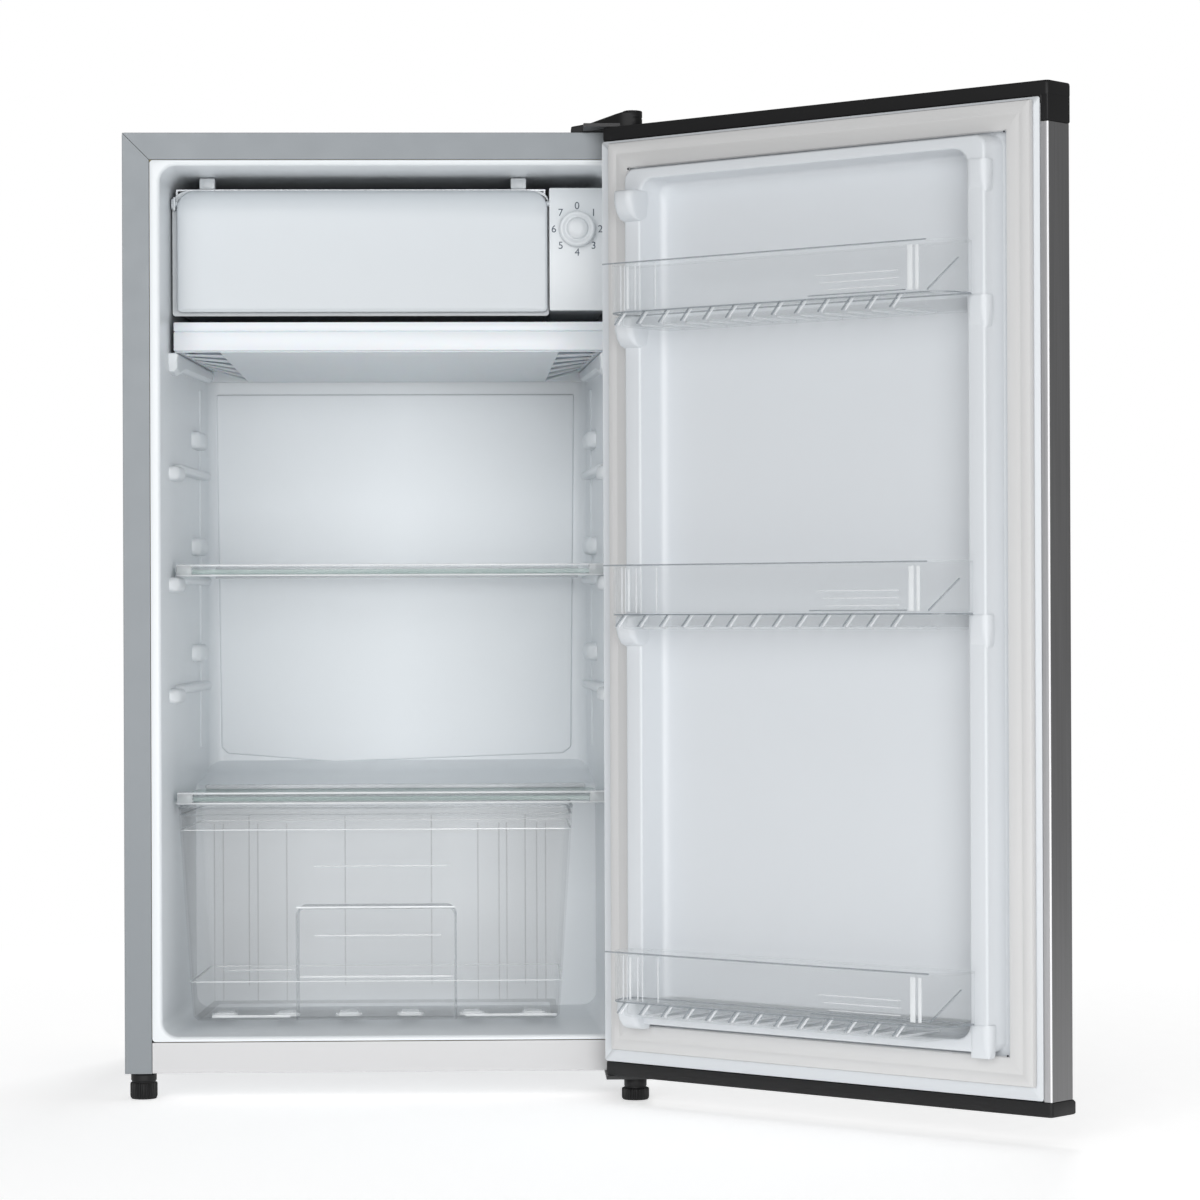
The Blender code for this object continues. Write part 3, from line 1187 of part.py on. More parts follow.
def door_liner():
    """The vacuum-formed inner sheet: the form less the same form drawn in by the sheet."""
    low, high = DOOR_BOTTOM + CAP_HEIGHT + GAP, DOOR_TOP - CAP_HEIGHT - GAP
    left, right = DOOR_FREE + LINER_EDGE + GAP, HINGE_INSET - LINER_EDGE - GAP
    back = RECESS_FLOOR - 4 * MM
    liner = door_form("door_liner", 0, left, right, low, high, back, "white_plastic")
    cut(liner, door_form("door_liner_core", DOOR_LINER_SHEET, left - OVERCUT, right + OVERCUT,
                         low - OVERCUT,
                         high + OVERCUT, back - OVERCUT, None, True))


def door_foam():
    inset = SHEET + GAP
    foam = door_form("door_foam", DOOR_LINER_SHEET + GAP, DOOR_FREE + inset, HINGE_INSET - inset,
                     DOOR_BOTTOM + CAP_HEIGHT + 2 * GAP, DOOR_TOP - CAP_HEIGHT - 2 * GAP,
                     DOOR_OUTER + inset,
                     "foam")
    cut(foam, cap_tab("foam_tab_space", 2 * GAP, None, True))


def cap_tab(name, grow, material, cutter):
    """The part of the top cap that comes down over the free edge."""
    return box(name, (DOOR_FREE - 2 * grow, DOOR_OUTER - 2 * grow, DOOR_TOP - CAP_HEIGHT - CAP_TAB - grow),
               (DOOR_FREE + CAP_TAB_WIDTH + grow, DOOR_INNER + 2 * grow, DOOR_TOP - CAP_HEIGHT + 2 * MM),
               material, door, cutter)


def door_panel():
    """The steel wrap: front, two sides and the folds along the inner edges."""
    low, high = DOOR_BOTTOM + CAP_HEIGHT + GAP, DOOR_TOP - CAP_HEIGHT - GAP
    panel = box("door_panel", (DOOR_FREE, DOOR_OUTER, low), (HINGE_INSET, DOOR_INNER, high), "door_steel",
                door)
    cut(
        panel,
        box("panel_hollow", (DOOR_FREE + SHEET, DOOR_OUTER + SHEET, low - OVERCUT),
            (HINGE_INSET - SHEET, DOOR_INNER - SHEET, high + OVERCUT), None, door, True),
        box("panel_mouth", (DOOR_FREE + LINER_EDGE, DOOR_INNER - 3 * SHEET, low - OVERCUT),
            (HINGE_INSET - LINER_EDGE, DOOR_INNER + OVERCUT, high + OVERCUT), None, door, True),
        cap_tab("panel_tab_space", GAP, None, True),
    )


def door_caps():
    """The two plastic end caps, bored for the hinge bushes."""
    top = box("door_top_cap", (DOOR_FREE, DOOR_OUTER - CAP_LIP, DOOR_TOP - CAP_HEIGHT),
              (HINGE_INSET, DOOR_INNER, DOOR_TOP), "black_plastic", door, bevel=SOFT_EDGE, segments=1)
    join(top, cap_tab("top_cap_tab", 0, None, True))
    bottom = box("door_bottom_cap", (DOOR_FREE, DOOR_OUTER - BOTTOM_CAP_LIP, DOOR_BOTTOM),
                 (HINGE_INSET, DOOR_INNER,
                  DOOR_BOTTOM + CAP_HEIGHT), "black_plastic", door, bevel=SOFT_EDGE,
                 segments=1)
    outer = HINGE_PIN_RADIUS + BUSH_CLEARANCE + BUSH_WALL
    bushes = ((top, "upper_hinge_bush", DOOR_TOP - CAP_HEIGHT), (bottom, "lower_hinge_bush", DOOR_BOTTOM))
    for cap, name, low in bushes:
        end = low + CAP_HEIGHT
        cut(cap, cylinder(name + "_seat", (0, 0, low - MM), (0, 0, end + MM), outer + GAP, None, door,
                          True))
        bush = cylinder(name, (0, 0, low + GAP), (0, 0, end - GAP), outer, "white_plastic", door)
        cut(bush, cylinder(name + "_bore", (0, 0, low - MM), (0, 0, end + MM), outer - BUSH_WALL, None,
                           door, True))


def gasket_ring(name, inset, y0, y1, width, material, cutter):
    """A square-cornered ring that lies along the gasket's line."""
    half = HALF_WIDTH - GASKET_OUTER - inset
    ring = door_face(name, half, GASKET_LOW + inset, GASKET_HIGH - inset, y0, y1, 3 * MM, material, cutter)
    cut(ring, door_face(name + "_inside", half - width, GASKET_LOW + inset + width,
                        GASKET_HIGH - inset - width,
                        y0 - OVERCUT, y1 + OVERCUT, 0, None, True))
    return ring


def door_gasket():
    """The magnetic seal: a base ring on the door's flange under a wider bellows ring."""
    base = DOOR_INNER + GAP
    middle = base + 3 * MM
    face = HINGE_FORWARD - GASKET_SEAL_GAP
    gasket = gasket_ring("door_gasket", 0, middle, face, GASKET_WIDTH, "gasket_rubber", False)
    join(gasket, gasket_ring("gasket_base", 3 * MM, base, middle + MM, GASKET_WIDTH - 6 * MM, None, True))


def bin_plan(inset, narrow):
    """A bin's outline in plan: narrow between the dykes, wide in front of them, round front corners."""
    half = (BIN_NARROW_HALF if narrow else BIN_HALF_LENGTH) - inset
    back = (RECESS_FLOOR + 2 * MM if narrow else DYKE_TOP + 2 * MM) + inset
    front = BIN_FRONT - inset
    x = middle_x()
    radius = 0 if narrow else BIN_CORNER - inset
    return rounded_rectangle((x - half, back), (x + half, front - (BIN_NARROW_SETBACK if narrow else 0)),
                             [0, 0, radius, radius])


def door_bin(name, underside):
    """A clear bin: its wide ends rest on the humps and its narrow body hangs between the dykes."""
    t = BIN_WALL
    shoulder = underside + BIN_SHOULDER_RISE
    rim = underside + BIN_HEIGHT
    tub = plate(name, bin_plan(0, True), underside, rim, "Z", "clear_plastic", door)
    join(tub, plate(name + "_wide", bin_plan(0, False), shoulder, rim, "Z", None, door, True))
    cut(tub, plate(name + "_hollow", bin_plan(t, True), underside + t, rim + OVERCUT, "Z", None, door,
                   True),
        plate(name + "_wide_hollow", bin_plan(t, False), shoulder + t, rim + OVERCUT, "Z", None, door,
              True))


# ---------------------------------------------------------------- the whole fridge


def build():
    outer_shell()
    back_panel()
    base_rail()
    base_plate()
    corner_bracket()
    inner_liner()
    cabinet_foam()
    bay_panel()
    condenser_tube()
    compressor()
    relay_cover()
    filter_drier()
    discharge_tube()
    suction_tube()
    evaporator()
    evaporator_clips()
    freezer_frame()
    freezer_flap()
    thermostat_housing()
    thermostat_body()
    thermostat_knob()
    drip_tray()
    glass_shelf("upper_shelf", UPPER_SHELF_Z, SHELF_BACK)
    glass_shelf("lower_shelf", LOWER_SHELF_Z, CRISPER_BACK + MM)
    crisper_drawer()
    upper_hinge()
    lower_hinge()
    feet()
    door_liner()
    door_foam()
    door_panel()
    door_caps()
    door_gasket()
    for name, underside in BIN_UNDERSIDES.items():
        door_bin(name, underside)


def centre_on_origin():
    """Puts the origin at the middle of the bottom of the bounding box."""
    bpy.context.view_layer.update()
    graph = bpy.context.evaluated_depsgraph_get()
    corners = []
    for thing in parts.objects:
        if thing.type != "EMPTY":
            shape = thing.evaluated_get(graph)
            corners += [shape.matrix_world @ v.co for v in shape.to_mesh().vertices]
            shape.to_mesh_clear()
    low = [min(c[i] for c in corners) for i in range(3)]
    high = [max(c[i] for c in corners) for i in range(3)]
    whole.location = (-(low[0] + high[0]) / 2, -(low[1] + high[1]) / 2, -low[2])


build()
centre_on_origin()
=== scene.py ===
"""Studio scene of the mini fridge: every visible piece in detail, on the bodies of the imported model.

Shapes are written in millimetres in two spaces. Cabinet space has X from the cabinet's middle, Y back from
its front face and Z up from the floor. Door space is the closed door's: X along the door from the hinge
axis (negative towards the free edge), Y inwards from the axis and Z up; the open door is that space turned.
"""

import json
import math

import bmesh
import bpy
from mathutils import Matrix, Vector


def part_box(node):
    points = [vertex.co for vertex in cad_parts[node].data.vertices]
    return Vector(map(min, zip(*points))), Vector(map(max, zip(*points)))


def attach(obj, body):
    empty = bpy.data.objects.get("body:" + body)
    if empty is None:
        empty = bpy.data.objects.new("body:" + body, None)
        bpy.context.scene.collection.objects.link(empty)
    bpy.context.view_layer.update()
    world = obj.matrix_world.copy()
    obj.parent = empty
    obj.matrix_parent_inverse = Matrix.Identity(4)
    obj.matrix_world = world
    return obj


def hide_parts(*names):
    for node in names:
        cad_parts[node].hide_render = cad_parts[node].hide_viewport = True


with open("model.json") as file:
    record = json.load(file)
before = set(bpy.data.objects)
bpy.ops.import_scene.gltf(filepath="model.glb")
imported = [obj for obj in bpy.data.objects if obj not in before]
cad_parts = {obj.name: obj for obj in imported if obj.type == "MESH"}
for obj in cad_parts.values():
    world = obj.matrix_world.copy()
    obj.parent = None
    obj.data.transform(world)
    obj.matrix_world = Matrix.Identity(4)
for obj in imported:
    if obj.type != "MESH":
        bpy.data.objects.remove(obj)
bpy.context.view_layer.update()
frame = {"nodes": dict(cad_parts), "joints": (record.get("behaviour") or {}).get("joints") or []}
nodes = frame["nodes"]

MM = 0.001
SIDES = {-1: "left", 1: "right"}
DOOR_TURN = math.radians(138)

# the cabinet, in cabinet space
HALF_WIDTH = 232.5
TOP = 850
BOTTOM = 23.5
DEPTH = 408
OPENING = 199.5
OPENING_TOP = 821
FLOOR = 56
DRAFT = 0.043
CAVITY_BACK = 370
CAVITY_RADIUS = 13.5
FLANGE_INNER = 208.8
FLANGE_LOW, FLANGE_HIGH = 51.4, 825.9
SHEET = 1.0
PIN_Y, PIN_Z = 71.2, 794.4  # the freezer flap's axis
FLAP_BACK = 76.7
DIAL = (168.7, 65.6, 771.1)
FIGURE_CIRCLE = 20.9
FIGURE_SIZE = 9.3
TRAY_FRONT, TRAY_BACK = 72, 358
SHELF_LEVELS = (563, 463, 363, 258)
STEP_FRONT, STEP_TOP, STEP_NOSE = 256, 266, 12

# the door, in door space
DOOR_HINGE_EDGE = 17.3
DOOR_FREE_EDGE = -447.7
DOOR_LOW = 36.1
DOOR_HIGH = 837.5
DOOR_FRONT = -11
DOOR_BACK = 21
DOOR_NOTCH = DOOR_HIGH - 20.6  # the top cap's tab reaches down to here over the free edge
MIDDLE = -215.2  # the middle of the compartment, along the door
SEAL_INSET = 12.3
BINS = (("top_bin", 668.5), ("middle_bin", 412.5), ("bottom_bin", 84.5))  # name, underside
SPARE_BIN = 777.0  # the underside of a bin hung on the top pair of bosses
BIN_SHOULDER, BIN_RIM = 12, 55  # above a bin's underside
BIN_WALL = 1.9
BIN_PITCH = 24
CRISPER_TOP, CRISPER_FRONT, CRISPER_BACK = 252.9, 84, 247
CRISPER_WALL = 1.8
SHELF_FRONT = 87

AMBIENT = 0.3
FLOOR_GLOW = 0.52
FLOOR_RADIUS = 1.7
LIGHTS = (  # name, place and aim in metres, size, power
    ("key", (-1.3, -4.1, 1.4), (0.0, 0.1, 0.45), 2.2, 60),
    ("fill", (0.9, -4.3, 0.4), (0.0, 0.1, 0.25), 1.8, 62),
    ("rear", (0.8, 4.4, 3.2), (0.0, 0.2, 0.5), 1.4, 60),
)

shell_low, shell_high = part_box("outer_shell")
hinge = Vector(next(j for j in frame["joints"] if j["name"] == "door_hinge")["pos_m"])
CABINET = Matrix.Translation(((shell_low.x + shell_high.x) / 2, shell_low.y, 0)) @ Matrix.Scale(MM, 4)
DOOR = (Matrix.Translation((hinge.x, hinge.y, 0)) @ Matrix.Rotation(DOOR_TURN, 4, "Z") @ Matrix.Scale(MM, 4))


# --- materials


def srgb(*levels):
    """A colour given as 0 to 255 display levels."""
    return tuple((v / 255 / 12.92 if v <= 10 else ((v / 255 + 0.055) / 1.055) ** 2.4) for v in levels)


def new_material(name, colour, roughness, **settings):
    """A principled material; settings name its other sockets."""
    material = bpy.data.materials.new(name)
    material.use_nodes = True
    shader = material.node_tree.nodes["Principled BSDF"]
    shader.inputs["Base Color"].default_value = (*colour, 1)
    shader.inputs["Roughness"].default_value = roughness
    for socket, value in settings.items():
        shader.inputs[socket.replace("_", " ")].default_value = value
    return material, material.node_tree, shader


def noise(tree, scale, detail=3.0, stretch=(1, 1, 1)):
    """Noise over the object's own coordinates."""
    coordinates = tree.nodes.new("ShaderNodeTexCoord")
    mapping = tree.nodes.new("ShaderNodeMapping")
    mapping.inputs["Scale"].default_value = stretch
    texture = tree.nodes.new("ShaderNodeTexNoise")
    texture.inputs["Scale"].default_value = scale
    texture.inputs["Detail"].default_value = detail
    tree.links.new(coordinates.outputs["Object"], mapping.inputs["Vector"])
    tree.links.new(mapping.outputs["Vector"], texture.inputs["Vector"])
    return texture.outputs["Fac"]


def spread(tree, source, low, high):
    """Maps a 0 to 1 signal to a range."""
    node = tree.nodes.new("ShaderNodeMapRange")
    node.inputs["To Min"].default_value = low
    node.inputs["To Max"].default_value = high
    tree.links.new(source, node.inputs["Value"])
    return node.outputs["Result"]


def bumped(tree, shader, source, strength, distance):
    """A small relief from a noise."""
    bump = tree.nodes.new("ShaderNodeBump")
    bump.inputs["Strength"].default_value = strength
    bump.inputs["Distance"].default_value = distance
    tree.links.new(source, bump.inputs["Height"])
    tree.links.new(bump.outputs["Normal"], shader.inputs["Normal"])


def tinted(tree, shader, source, dark, light):
    """Colour that varies between two close shades."""
    mix = tree.nodes.new("ShaderNodeMix")
    mix.data_type = "RGBA"
    mix.inputs["A"].default_value = (*dark, 1)
    mix.inputs["B"].default_value = (*light, 1)
    tree.links.new(source, mix.inputs["Factor"])
    tree.links.new(mix.outputs["Result"], shader.inputs["Base Color"])


def shade(colour, factor):
    """A colour made darker or lighter."""
    return tuple(min(1.0, c * factor) for c in colour)


def surface(name, colour, roughness, grain=900, grain_strength=0.08, variation=0.03, **settings):
    """An opaque surface with a faint colour drift, uneven gloss and a fine grain."""
    material, tree, shader = new_material(name, colour, roughness, **settings)
    drift = noise(tree, 6.0)
    tinted(tree, shader, drift, shade(colour, 1 - variation), shade(colour, 1 + variation))
    uneven = spread(tree, noise(tree, 40.0), roughness * 0.85, roughness * 1.15)
    tree.links.new(uneven, shader.inputs["Roughness"])
    bumped(tree, shader, noise(tree, grain), grain_strength, 0.0002)
    return material


def brushed(name, colour, roughness, metallic):
    """Sheet metal with a fine vertical grain."""
    material, tree, shader = new_material(name, colour, roughness, Metallic=metallic)
    lines = noise(tree, 700.0, 2.0, (1, 1, 0.012))
    tinted(tree, shader, lines, shade(colour, 0.82), shade(colour, 1.18))
    tree.links.new(spread(tree, lines, roughness * 0.8, roughness * 1.3), shader.inputs["Roughness"])
    bumped(tree, shader, lines, 0.12, 0.0001)
    return material


def clear(name, colour, low, high, roughness=0.06):
    """Clear moulded plastic or glass: nearly unseen face on, denser where the sight line grazes it."""
    material, tree, shader = new_material(name, colour, roughness, Specular_IOR_Level=0.6)
    facing = tree.nodes.new("ShaderNodeLayerWeight")
    facing.inputs["Blend"].default_value = 0.35
    tree.links.new(spread(tree, facing.outputs["Facing"], low, high), shader.inputs["Alpha"])
    uneven = spread(tree, noise(tree, 25.0), roughness * 0.6, roughness * 1.6)
    tree.links.new(uneven, shader.inputs["Roughness"])
    return material


LINER_WHITE = srgb(231, 235, 238)
MATERIALS = {
    "liner": surface("liner_white", LINER_WHITE, 0.34, 700, 0.05, 0.012),
    # painted shade: the door's liner is the same white plastic as the cabinet's liner, set darker as shade on
    # the open door's inner face
    "door_liner": surface("door_liner_shaded_white", srgb(212, 216, 220), 0.36, 700, 0.05, 0.012),
    # painted shade: the flap is the same moulded white as the housing, set darker as shade on its front
    "flap": surface("flap_shaded_white", srgb(204, 209, 213), 0.3, 900, 0.04, 0.012),
    "moulded": surface("moulded_white", srgb(220, 224, 227), 0.3, 900, 0.04, 0.012),
    "slot_shade": surface("tray_slot_shade", srgb(168, 176, 188), 0.5, 900, 0.04, 0.012),
    "rail": surface("rail_white", srgb(207, 207, 208), 0.4, 900, 0.05, 0.012),
    "tray": surface("tray_white", srgb(229, 233, 237), 0.35, 900, 0.04, 0.012, Subsurface_Weight=0.15,
                    Subsurface_Scale=0.004),
    "paint": surface("cabinet_grey", srgb(132, 137, 141), 0.42, 1600, 0.1, 0.02, Metallic=0.25),
    "steel": brushed("door_steel_grey", srgb(132, 132, 133), 0.38, 0.8),
    # painted light: the fold is the door's own steel, laid as a lighter strip
    "fold": brushed("folded_steel_painted_light", srgb(176, 176, 178), 0.4, 0.5),
    # painted highlight: the white line along the door's rolled corner
    "fold_highlight": surface("rolled_edge_highlight", srgb(240, 240, 242), 0.3, 900, 0.03, 0.01),
    "black": surface("black_moulded", srgb(24, 24, 25), 0.5, 1400, 0.12, 0.05, Specular_IOR_Level=0.3),
    "gasket": surface("gasket_grey", srgb(206, 206, 206), 0.6, 1200, 0.05, 0.008),
    "black_steel": surface("black_coated_steel", srgb(38, 38, 39), 0.38, 1500, 0.08, 0.04, Metallic=0.4),
    "zinc": surface("zinc_coated", srgb(176, 178, 180), 0.45, 300, 0.12, 0.08, Metallic=0.85),
    "bright": surface("plated_steel", srgb(200, 200, 202), 0.28, 600, 0.06, 0.04, Metallic=1.0),
    "copper": surface("copper_tube", srgb(190, 116, 84), 0.34, 500, 0.1, 0.08, Metallic=1.0),
    "aluminium": surface("mill_aluminium", srgb(196, 199, 202), 0.42, 500, 0.1, 0.04, Metallic=0.8),
    "rubber": surface("black_rubber", srgb(30, 30, 30), 0.75, 900, 0.2, 0.06),
    "foam": surface("poured_foam", srgb(222, 208, 160), 0.9, 500, 0.4, 0.08),
    "figures": surface("printed_figures", srgb(70, 82, 96), 0.5, 900, 0.02, 0.02),
    # painted shade: dark dots for the small holes at the gasket's inner corners
    "hole_shade": surface("hole_shade", srgb(46, 50, 55), 0.7, 900, 0.05, 0.03),
    "bin_wall": clear("bin_wall", srgb(214, 220, 224), 0.02, 0.24),
    # dark lines along the bins' edges, and painted shade beside the slanted strokes
    "bin_edge_and_shade": clear("bin_edge_and_shade", srgb(150, 158, 164), 0.45, 0.9, 0.12),
    "bin_rib": clear("bin_rib", srgb(240, 243, 246), 0.4, 0.85, 0.1),
    "drawer_wall": clear("drawer_wall", srgb(222, 228, 233), 0.012, 0.2),
    "drawer_edge": clear("drawer_edge", srgb(190, 197, 203), 0.22, 0.62, 0.12),
    "drawer_rib": clear("drawer_rib", srgb(208, 213, 218), 0.06, 0.26, 0.1),
    # painted highlight: a near-white, nearly opaque clear material laid where light glints on clear plastic
    "painted_highlight": clear("painted_highlight", srgb(244, 247, 249), 0.6, 0.95, 0.08),
    "glass": clear("shelf_glass", srgb(206, 222, 222), 0.07, 0.3, 0.03),
    "glass_edge": clear("shelf_glass_edge", srgb(186, 208, 203), 0.45, 0.8, 0.1),
}


# --- mesh helpers


def put(name, work, material, body, stands_for=(), bevel=0.0, sharp=32, extra=()):
    """Turns a bmesh in millimetres into a finished piece that rides on a body.

    The door's and the bins' pieces are in door space, the rest in cabinet space.
    """
    bmesh.ops.remove_doubles(work, verts=work.verts, dist=0.002)
    bmesh.ops.recalc_face_normals(work, faces=work.faces)
    mesh = bpy.data.meshes.new(name)
    work.to_mesh(mesh)
    work.free()
    mesh.transform(DOOR if body == "door" or "_bin_" in body else CABINET)
    mesh.shade_smooth()
    mesh.set_sharp_from_angle(angle=math.radians(sharp))
    for key in (material, *extra):
        mesh.materials.append(MATERIALS[key])
    piece = bpy.data.objects.new(name, mesh)
    bpy.context.scene.collection.objects.link(piece)
    if bevel:
        soften(piece, bevel)
    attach(piece, body)
    if stands_for:
        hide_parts(*stands_for)
    return piece


def soften(piece, width, segments=2, angle=40):
    """Rounds a piece's sharp edges; width in millimetres."""
    bevel = piece.modifiers.new("soft_edges", "BEVEL")
    bevel.width = width * MM
    bevel.segments = segments
    bevel.limit_method = "ANGLE"
    bevel.angle_limit = math.radians(angle)
    bevel.harden_normals = True


def loft(work, rings, loop=False):
    """Faces between rings that have the same number of points, closed by end caps or into a loop."""
    rows = [[work.verts.new(p) for p in ring] for ring in rings]
    pairs = list(zip(rows, rows[1:]))
    if loop:
        pairs.append((rows[-1], rows[0]))
    for first, second in pairs:
        count = len(first)
        for i in range(count):
            j = (i + 1) % count
            work.faces.new((first[i], first[j], second[j], second[i]))
    if not loop:
        work.faces.new(rows[0][::-1])
        work.faces.new(rows[-1])


def corner_outline(low, high, radii, steps=6):
    """An anticlockwise outline with rounded corners: bottom left, bottom right, top right, top left."""
    (x0, y0), (x1, y1) = low, high
    if not isinstance(radii, (list, tuple)):
        radii = [radii] * 4
    corners = [(x0, y0, 180, 1, 1), (x1, y0, 270, -1, 1), (x1, y1, 0, -1, -1), (x0, y1, 90, 1, -1)]
    points = []
    for (x, y, start, sx, sy), radius in zip(corners, radii):
        cx, cy = x + sx * radius, y + sy * radius
        for i in range(steps + 1):
            turn = math.radians(start + 90 * i / steps)
            points.append((cx + radius * math.cos(turn), cy + radius * math.sin(turn)))
    return points


def ring_y(x0, x1, z0, z1, radius, y, steps=6):
    """A rounded rectangle facing along Y."""
    return [(x, y, z) for x, z in corner_outline((x0, z0), (x1, z1), radius, steps)]


def ring_z(x0, x1, y0, y1, radius, z, steps=6):
    """A rounded rectangle facing along Z."""
    return [(x, y, z) for x, y in corner_outline((x0, y0), (x1, y1), radius, steps)]


def block(work, low, high, radius, slot=0):
    """A box with rounded edges, added to a bmesh."""
    low, high = Vector(low), Vector(high)
    made = bmesh.ops.create_cube(work, size=1.0)["verts"]
    bmesh.ops.scale(work, vec=high - low, verts=made)
    bmesh.ops.translate(work, vec=(low + high) / 2, verts=made)
    edges = list({e for v in made for e in v.link_edges})
    faces = list({f for v in made for f in v.link_faces})
    for face in faces:
        face.material_index = slot
    radius = min(radius, min(high - low) * 0.49)
    if radius > 0:
        result = bmesh.ops.bevel(work, geom=edges, offset=radius, segments=2, profile=0.5,
                                 affect="EDGES", clamp_overlap=True)
        for face in result["faces"]:
            face.material_index = slot


def slab(work, outline, low, high, axis="Y"):
    """A flat outline made solid along an axis."""
    def place(u, v, w):
        return {"X": (w, u, v), "Y": (u, w, v), "Z": (u, v, w)}[axis]

    loft(work, [[place(u, v, w) for u, v in outline] for w in (low, high)])


def rod(work, start, end, radius, sides=20):
    """A round bar with softened ends."""
    start, end = Vector(start), Vector(end)
    along = (end - start).normalized()
    side = along.orthogonal().normalized()
    other = along.cross(side)
    soft = min(radius * 0.2, (end - start).length * 0.3)
    rings = []
    for place, size in ((start, radius - soft), (start + along * soft, radius),
                        (end - along * soft, radius), (end, radius - soft)):
        rings.append([place + (side * math.cos(a) + other * math.sin(a)) * size
                      for a in (2 * math.pi * i / sides for i in range(sides))])
    loft(work, rings)


def turned(work, profile, centre, axis="Z", sides=32):
    """A solid turned from an outline of (radius, height) with radii above zero."""
    centre = Vector(centre)
    rings = []
    for radius, height in profile:
        ring = []
        for i in range(sides):
            a = 2 * math.pi * i / sides
            u, v = radius * math.cos(a), radius * math.sin(a)
            offset = {"Z": (u, v, height), "Y": (u, -height, v)}[axis]
            ring.append(centre + Vector(offset))
        rings.append(ring)
    loft(work, rings)


def wall_x(y, inset=0.0):
    """Half the cavity's width at a depth."""
    return OPENING - DRAFT * y - inset


def quarter(steps):
    """Angles from 0 to 90 degrees."""
    return [math.pi / 2 * i / steps for i in range(steps + 1)]


def boxes(work, bars, radius):
    """Rounded boxes given as pairs of low and high corners."""
    for low, high in bars:
        block(work, low, high, radius)


def uprights(work, bars, near, far, low, high, radius):
    """Upright bars at (x, width)."""
    for x, wide in bars:
        block(work, (x, near, low), (x + wide, far, high), radius)


def frame_loft(work, outer, inner, near, far):
    """A frame between two outlines in the XZ plane, from one depth to another."""
    loft(work, [[(x, near, z) for x, z in outer], [(x, far, z) for x, z in outer],
                [(x, far, z) for x, z in inner], [(x, near, z) for x, z in inner]], loop=True)


# --- cabinet


def cabinet_shell():
    """The painted wrap: a bent sheet over sides and top, and the front flange in three mitred strips."""
    work = bmesh.new()
    outer = corner_outline((-HALF_WIDTH, BOTTOM), (HALF_WIDTH, TOP), [0, 0, 2.5, 2.5], 4)
    inner = corner_outline((-HALF_WIDTH + SHEET, BOTTOM), (HALF_WIDTH - SHEET, TOP - SHEET), [0, 0, 1.6, 1.6],
                           4)
    front_outer, front_inner, back_outer, back_inner = (
        [work.verts.new((x, y, z)) for x, z in outline] for y in (0.9, DEPTH) for outline in (outer, inner))
    run = list(range(9, len(front_outer))) + [0]
    for i, j in zip(run, run[1:]):
        for first, second in ((front_outer, back_outer), (front_inner, back_inner),
                              (front_outer, front_inner), (back_outer, back_inner)):
            work.faces.new((first[i], first[j], second[j], second[i]))
    for i in (run[0], run[-1]):
        work.faces.new((front_outer[i], front_inner[i], back_inner[i], back_outer[i]))
    put("cabinet_wrap", work, "paint", "cabinet", ("outer_shell",))
    flange_top = TOP - (HALF_WIDTH - FLANGE_INNER)
    gap = 0.25
    left = [(-HALF_WIDTH + 0.2, BOTTOM), (-FLANGE_INNER, BOTTOM), (-FLANGE_INNER, flange_top - gap),
            (-HALF_WIDTH + 0.2, TOP - 0.2 - gap)]
    right = [(-x, z) for x, z in left[::-1]]
    top = [(-HALF_WIDTH + 0.2, TOP - 0.2), (-FLANGE_INNER, flange_top), (FLANGE_INNER, flange_top),
           (HALF_WIDTH - 0.2, TOP - 0.2)]
    for name, outline in (("flange_left", left), ("flange_right", right), ("flange_top", top)):
        work = bmesh.new()
        slab(work, outline, 0.0, 1.0, "Y")
        put(name, work, "paint", "cabinet", bevel=0.25)


def cavity_rings():
    """From outside the back, round the rim, and in to the back wall."""
    r = CAVITY_RADIUS
    wall = 2.6
    rings = []

    def ring(inset, y, radius):
        half = wall_x(y, inset)
        high = OPENING_TOP - 4 * y / CAVITY_BACK - inset
        rings.append(ring_y(-half, half, FLOOR + inset, high, radius, y, 8))

    ring(-wall, CAVITY_BACK + wall, r + wall)
    ring(-wall, 2.8, r + wall)
    for inset, y in ((0.0, 2.8), (0.0, 0.5), (0.5, 0.1)):
        half = FLANGE_INNER - 0.4 - inset
        rings.append(ring_y(-half, half, FLANGE_LOW + inset, FLANGE_HIGH - inset, 3, y, 8))
    ring(-3.9, 0.1, r + 3.6)
    lip = 3.4
    for a in quarter(4):
        ring(-lip * (1 - math.sin(a)), 0.1 + lip * (1 - math.cos(a)), r + lip * (1 - math.sin(a)))
    for y in (60, 180, 300):
        ring(0, y, r)
    for a in quarter(5):
        ring(r * (1 - math.cos(a)), CAVITY_BACK - r + r * math.sin(a), max(r * math.cos(a), 1.0))
    return rings


def cavity():
    """The white compartment with its step, back panel, runners, ribs and tray supports."""
    work = bmesh.new()
    loft(work, cavity_rings())
    put("cavity_liner", work, "liner", "cabinet", ("inner_liner",), sharp=50)
    step_block()
    back_emboss()
    for level in SHELF_LEVELS:
        for side in SIDES:
            shelf_support(level, side)
    for side in SIDES:
        wall_column(side)
        tray_support(side)


def step_block():
    """The step over the compressor, with a soft nose and a ledge that climbs to the back wall."""
    work = bmesh.new()
    outline = [(STEP_FRONT, FLOOR - 1.5)]
    outline += [(STEP_FRONT + STEP_NOSE * (1 - math.cos(a)), STEP_TOP - STEP_NOSE * (1 - math.sin(a)))
                for a in quarter(6)]
    outline += [(345, 273), (360, 277), (371, 285), (371, FLOOR - 1.5)]
    loft(work, [[(side * wall_x(y, -1.2), y, z) for y, z in outline] for side in SIDES])
    put("compressor_step", work, "liner", "cabinet", bevel=1.5)


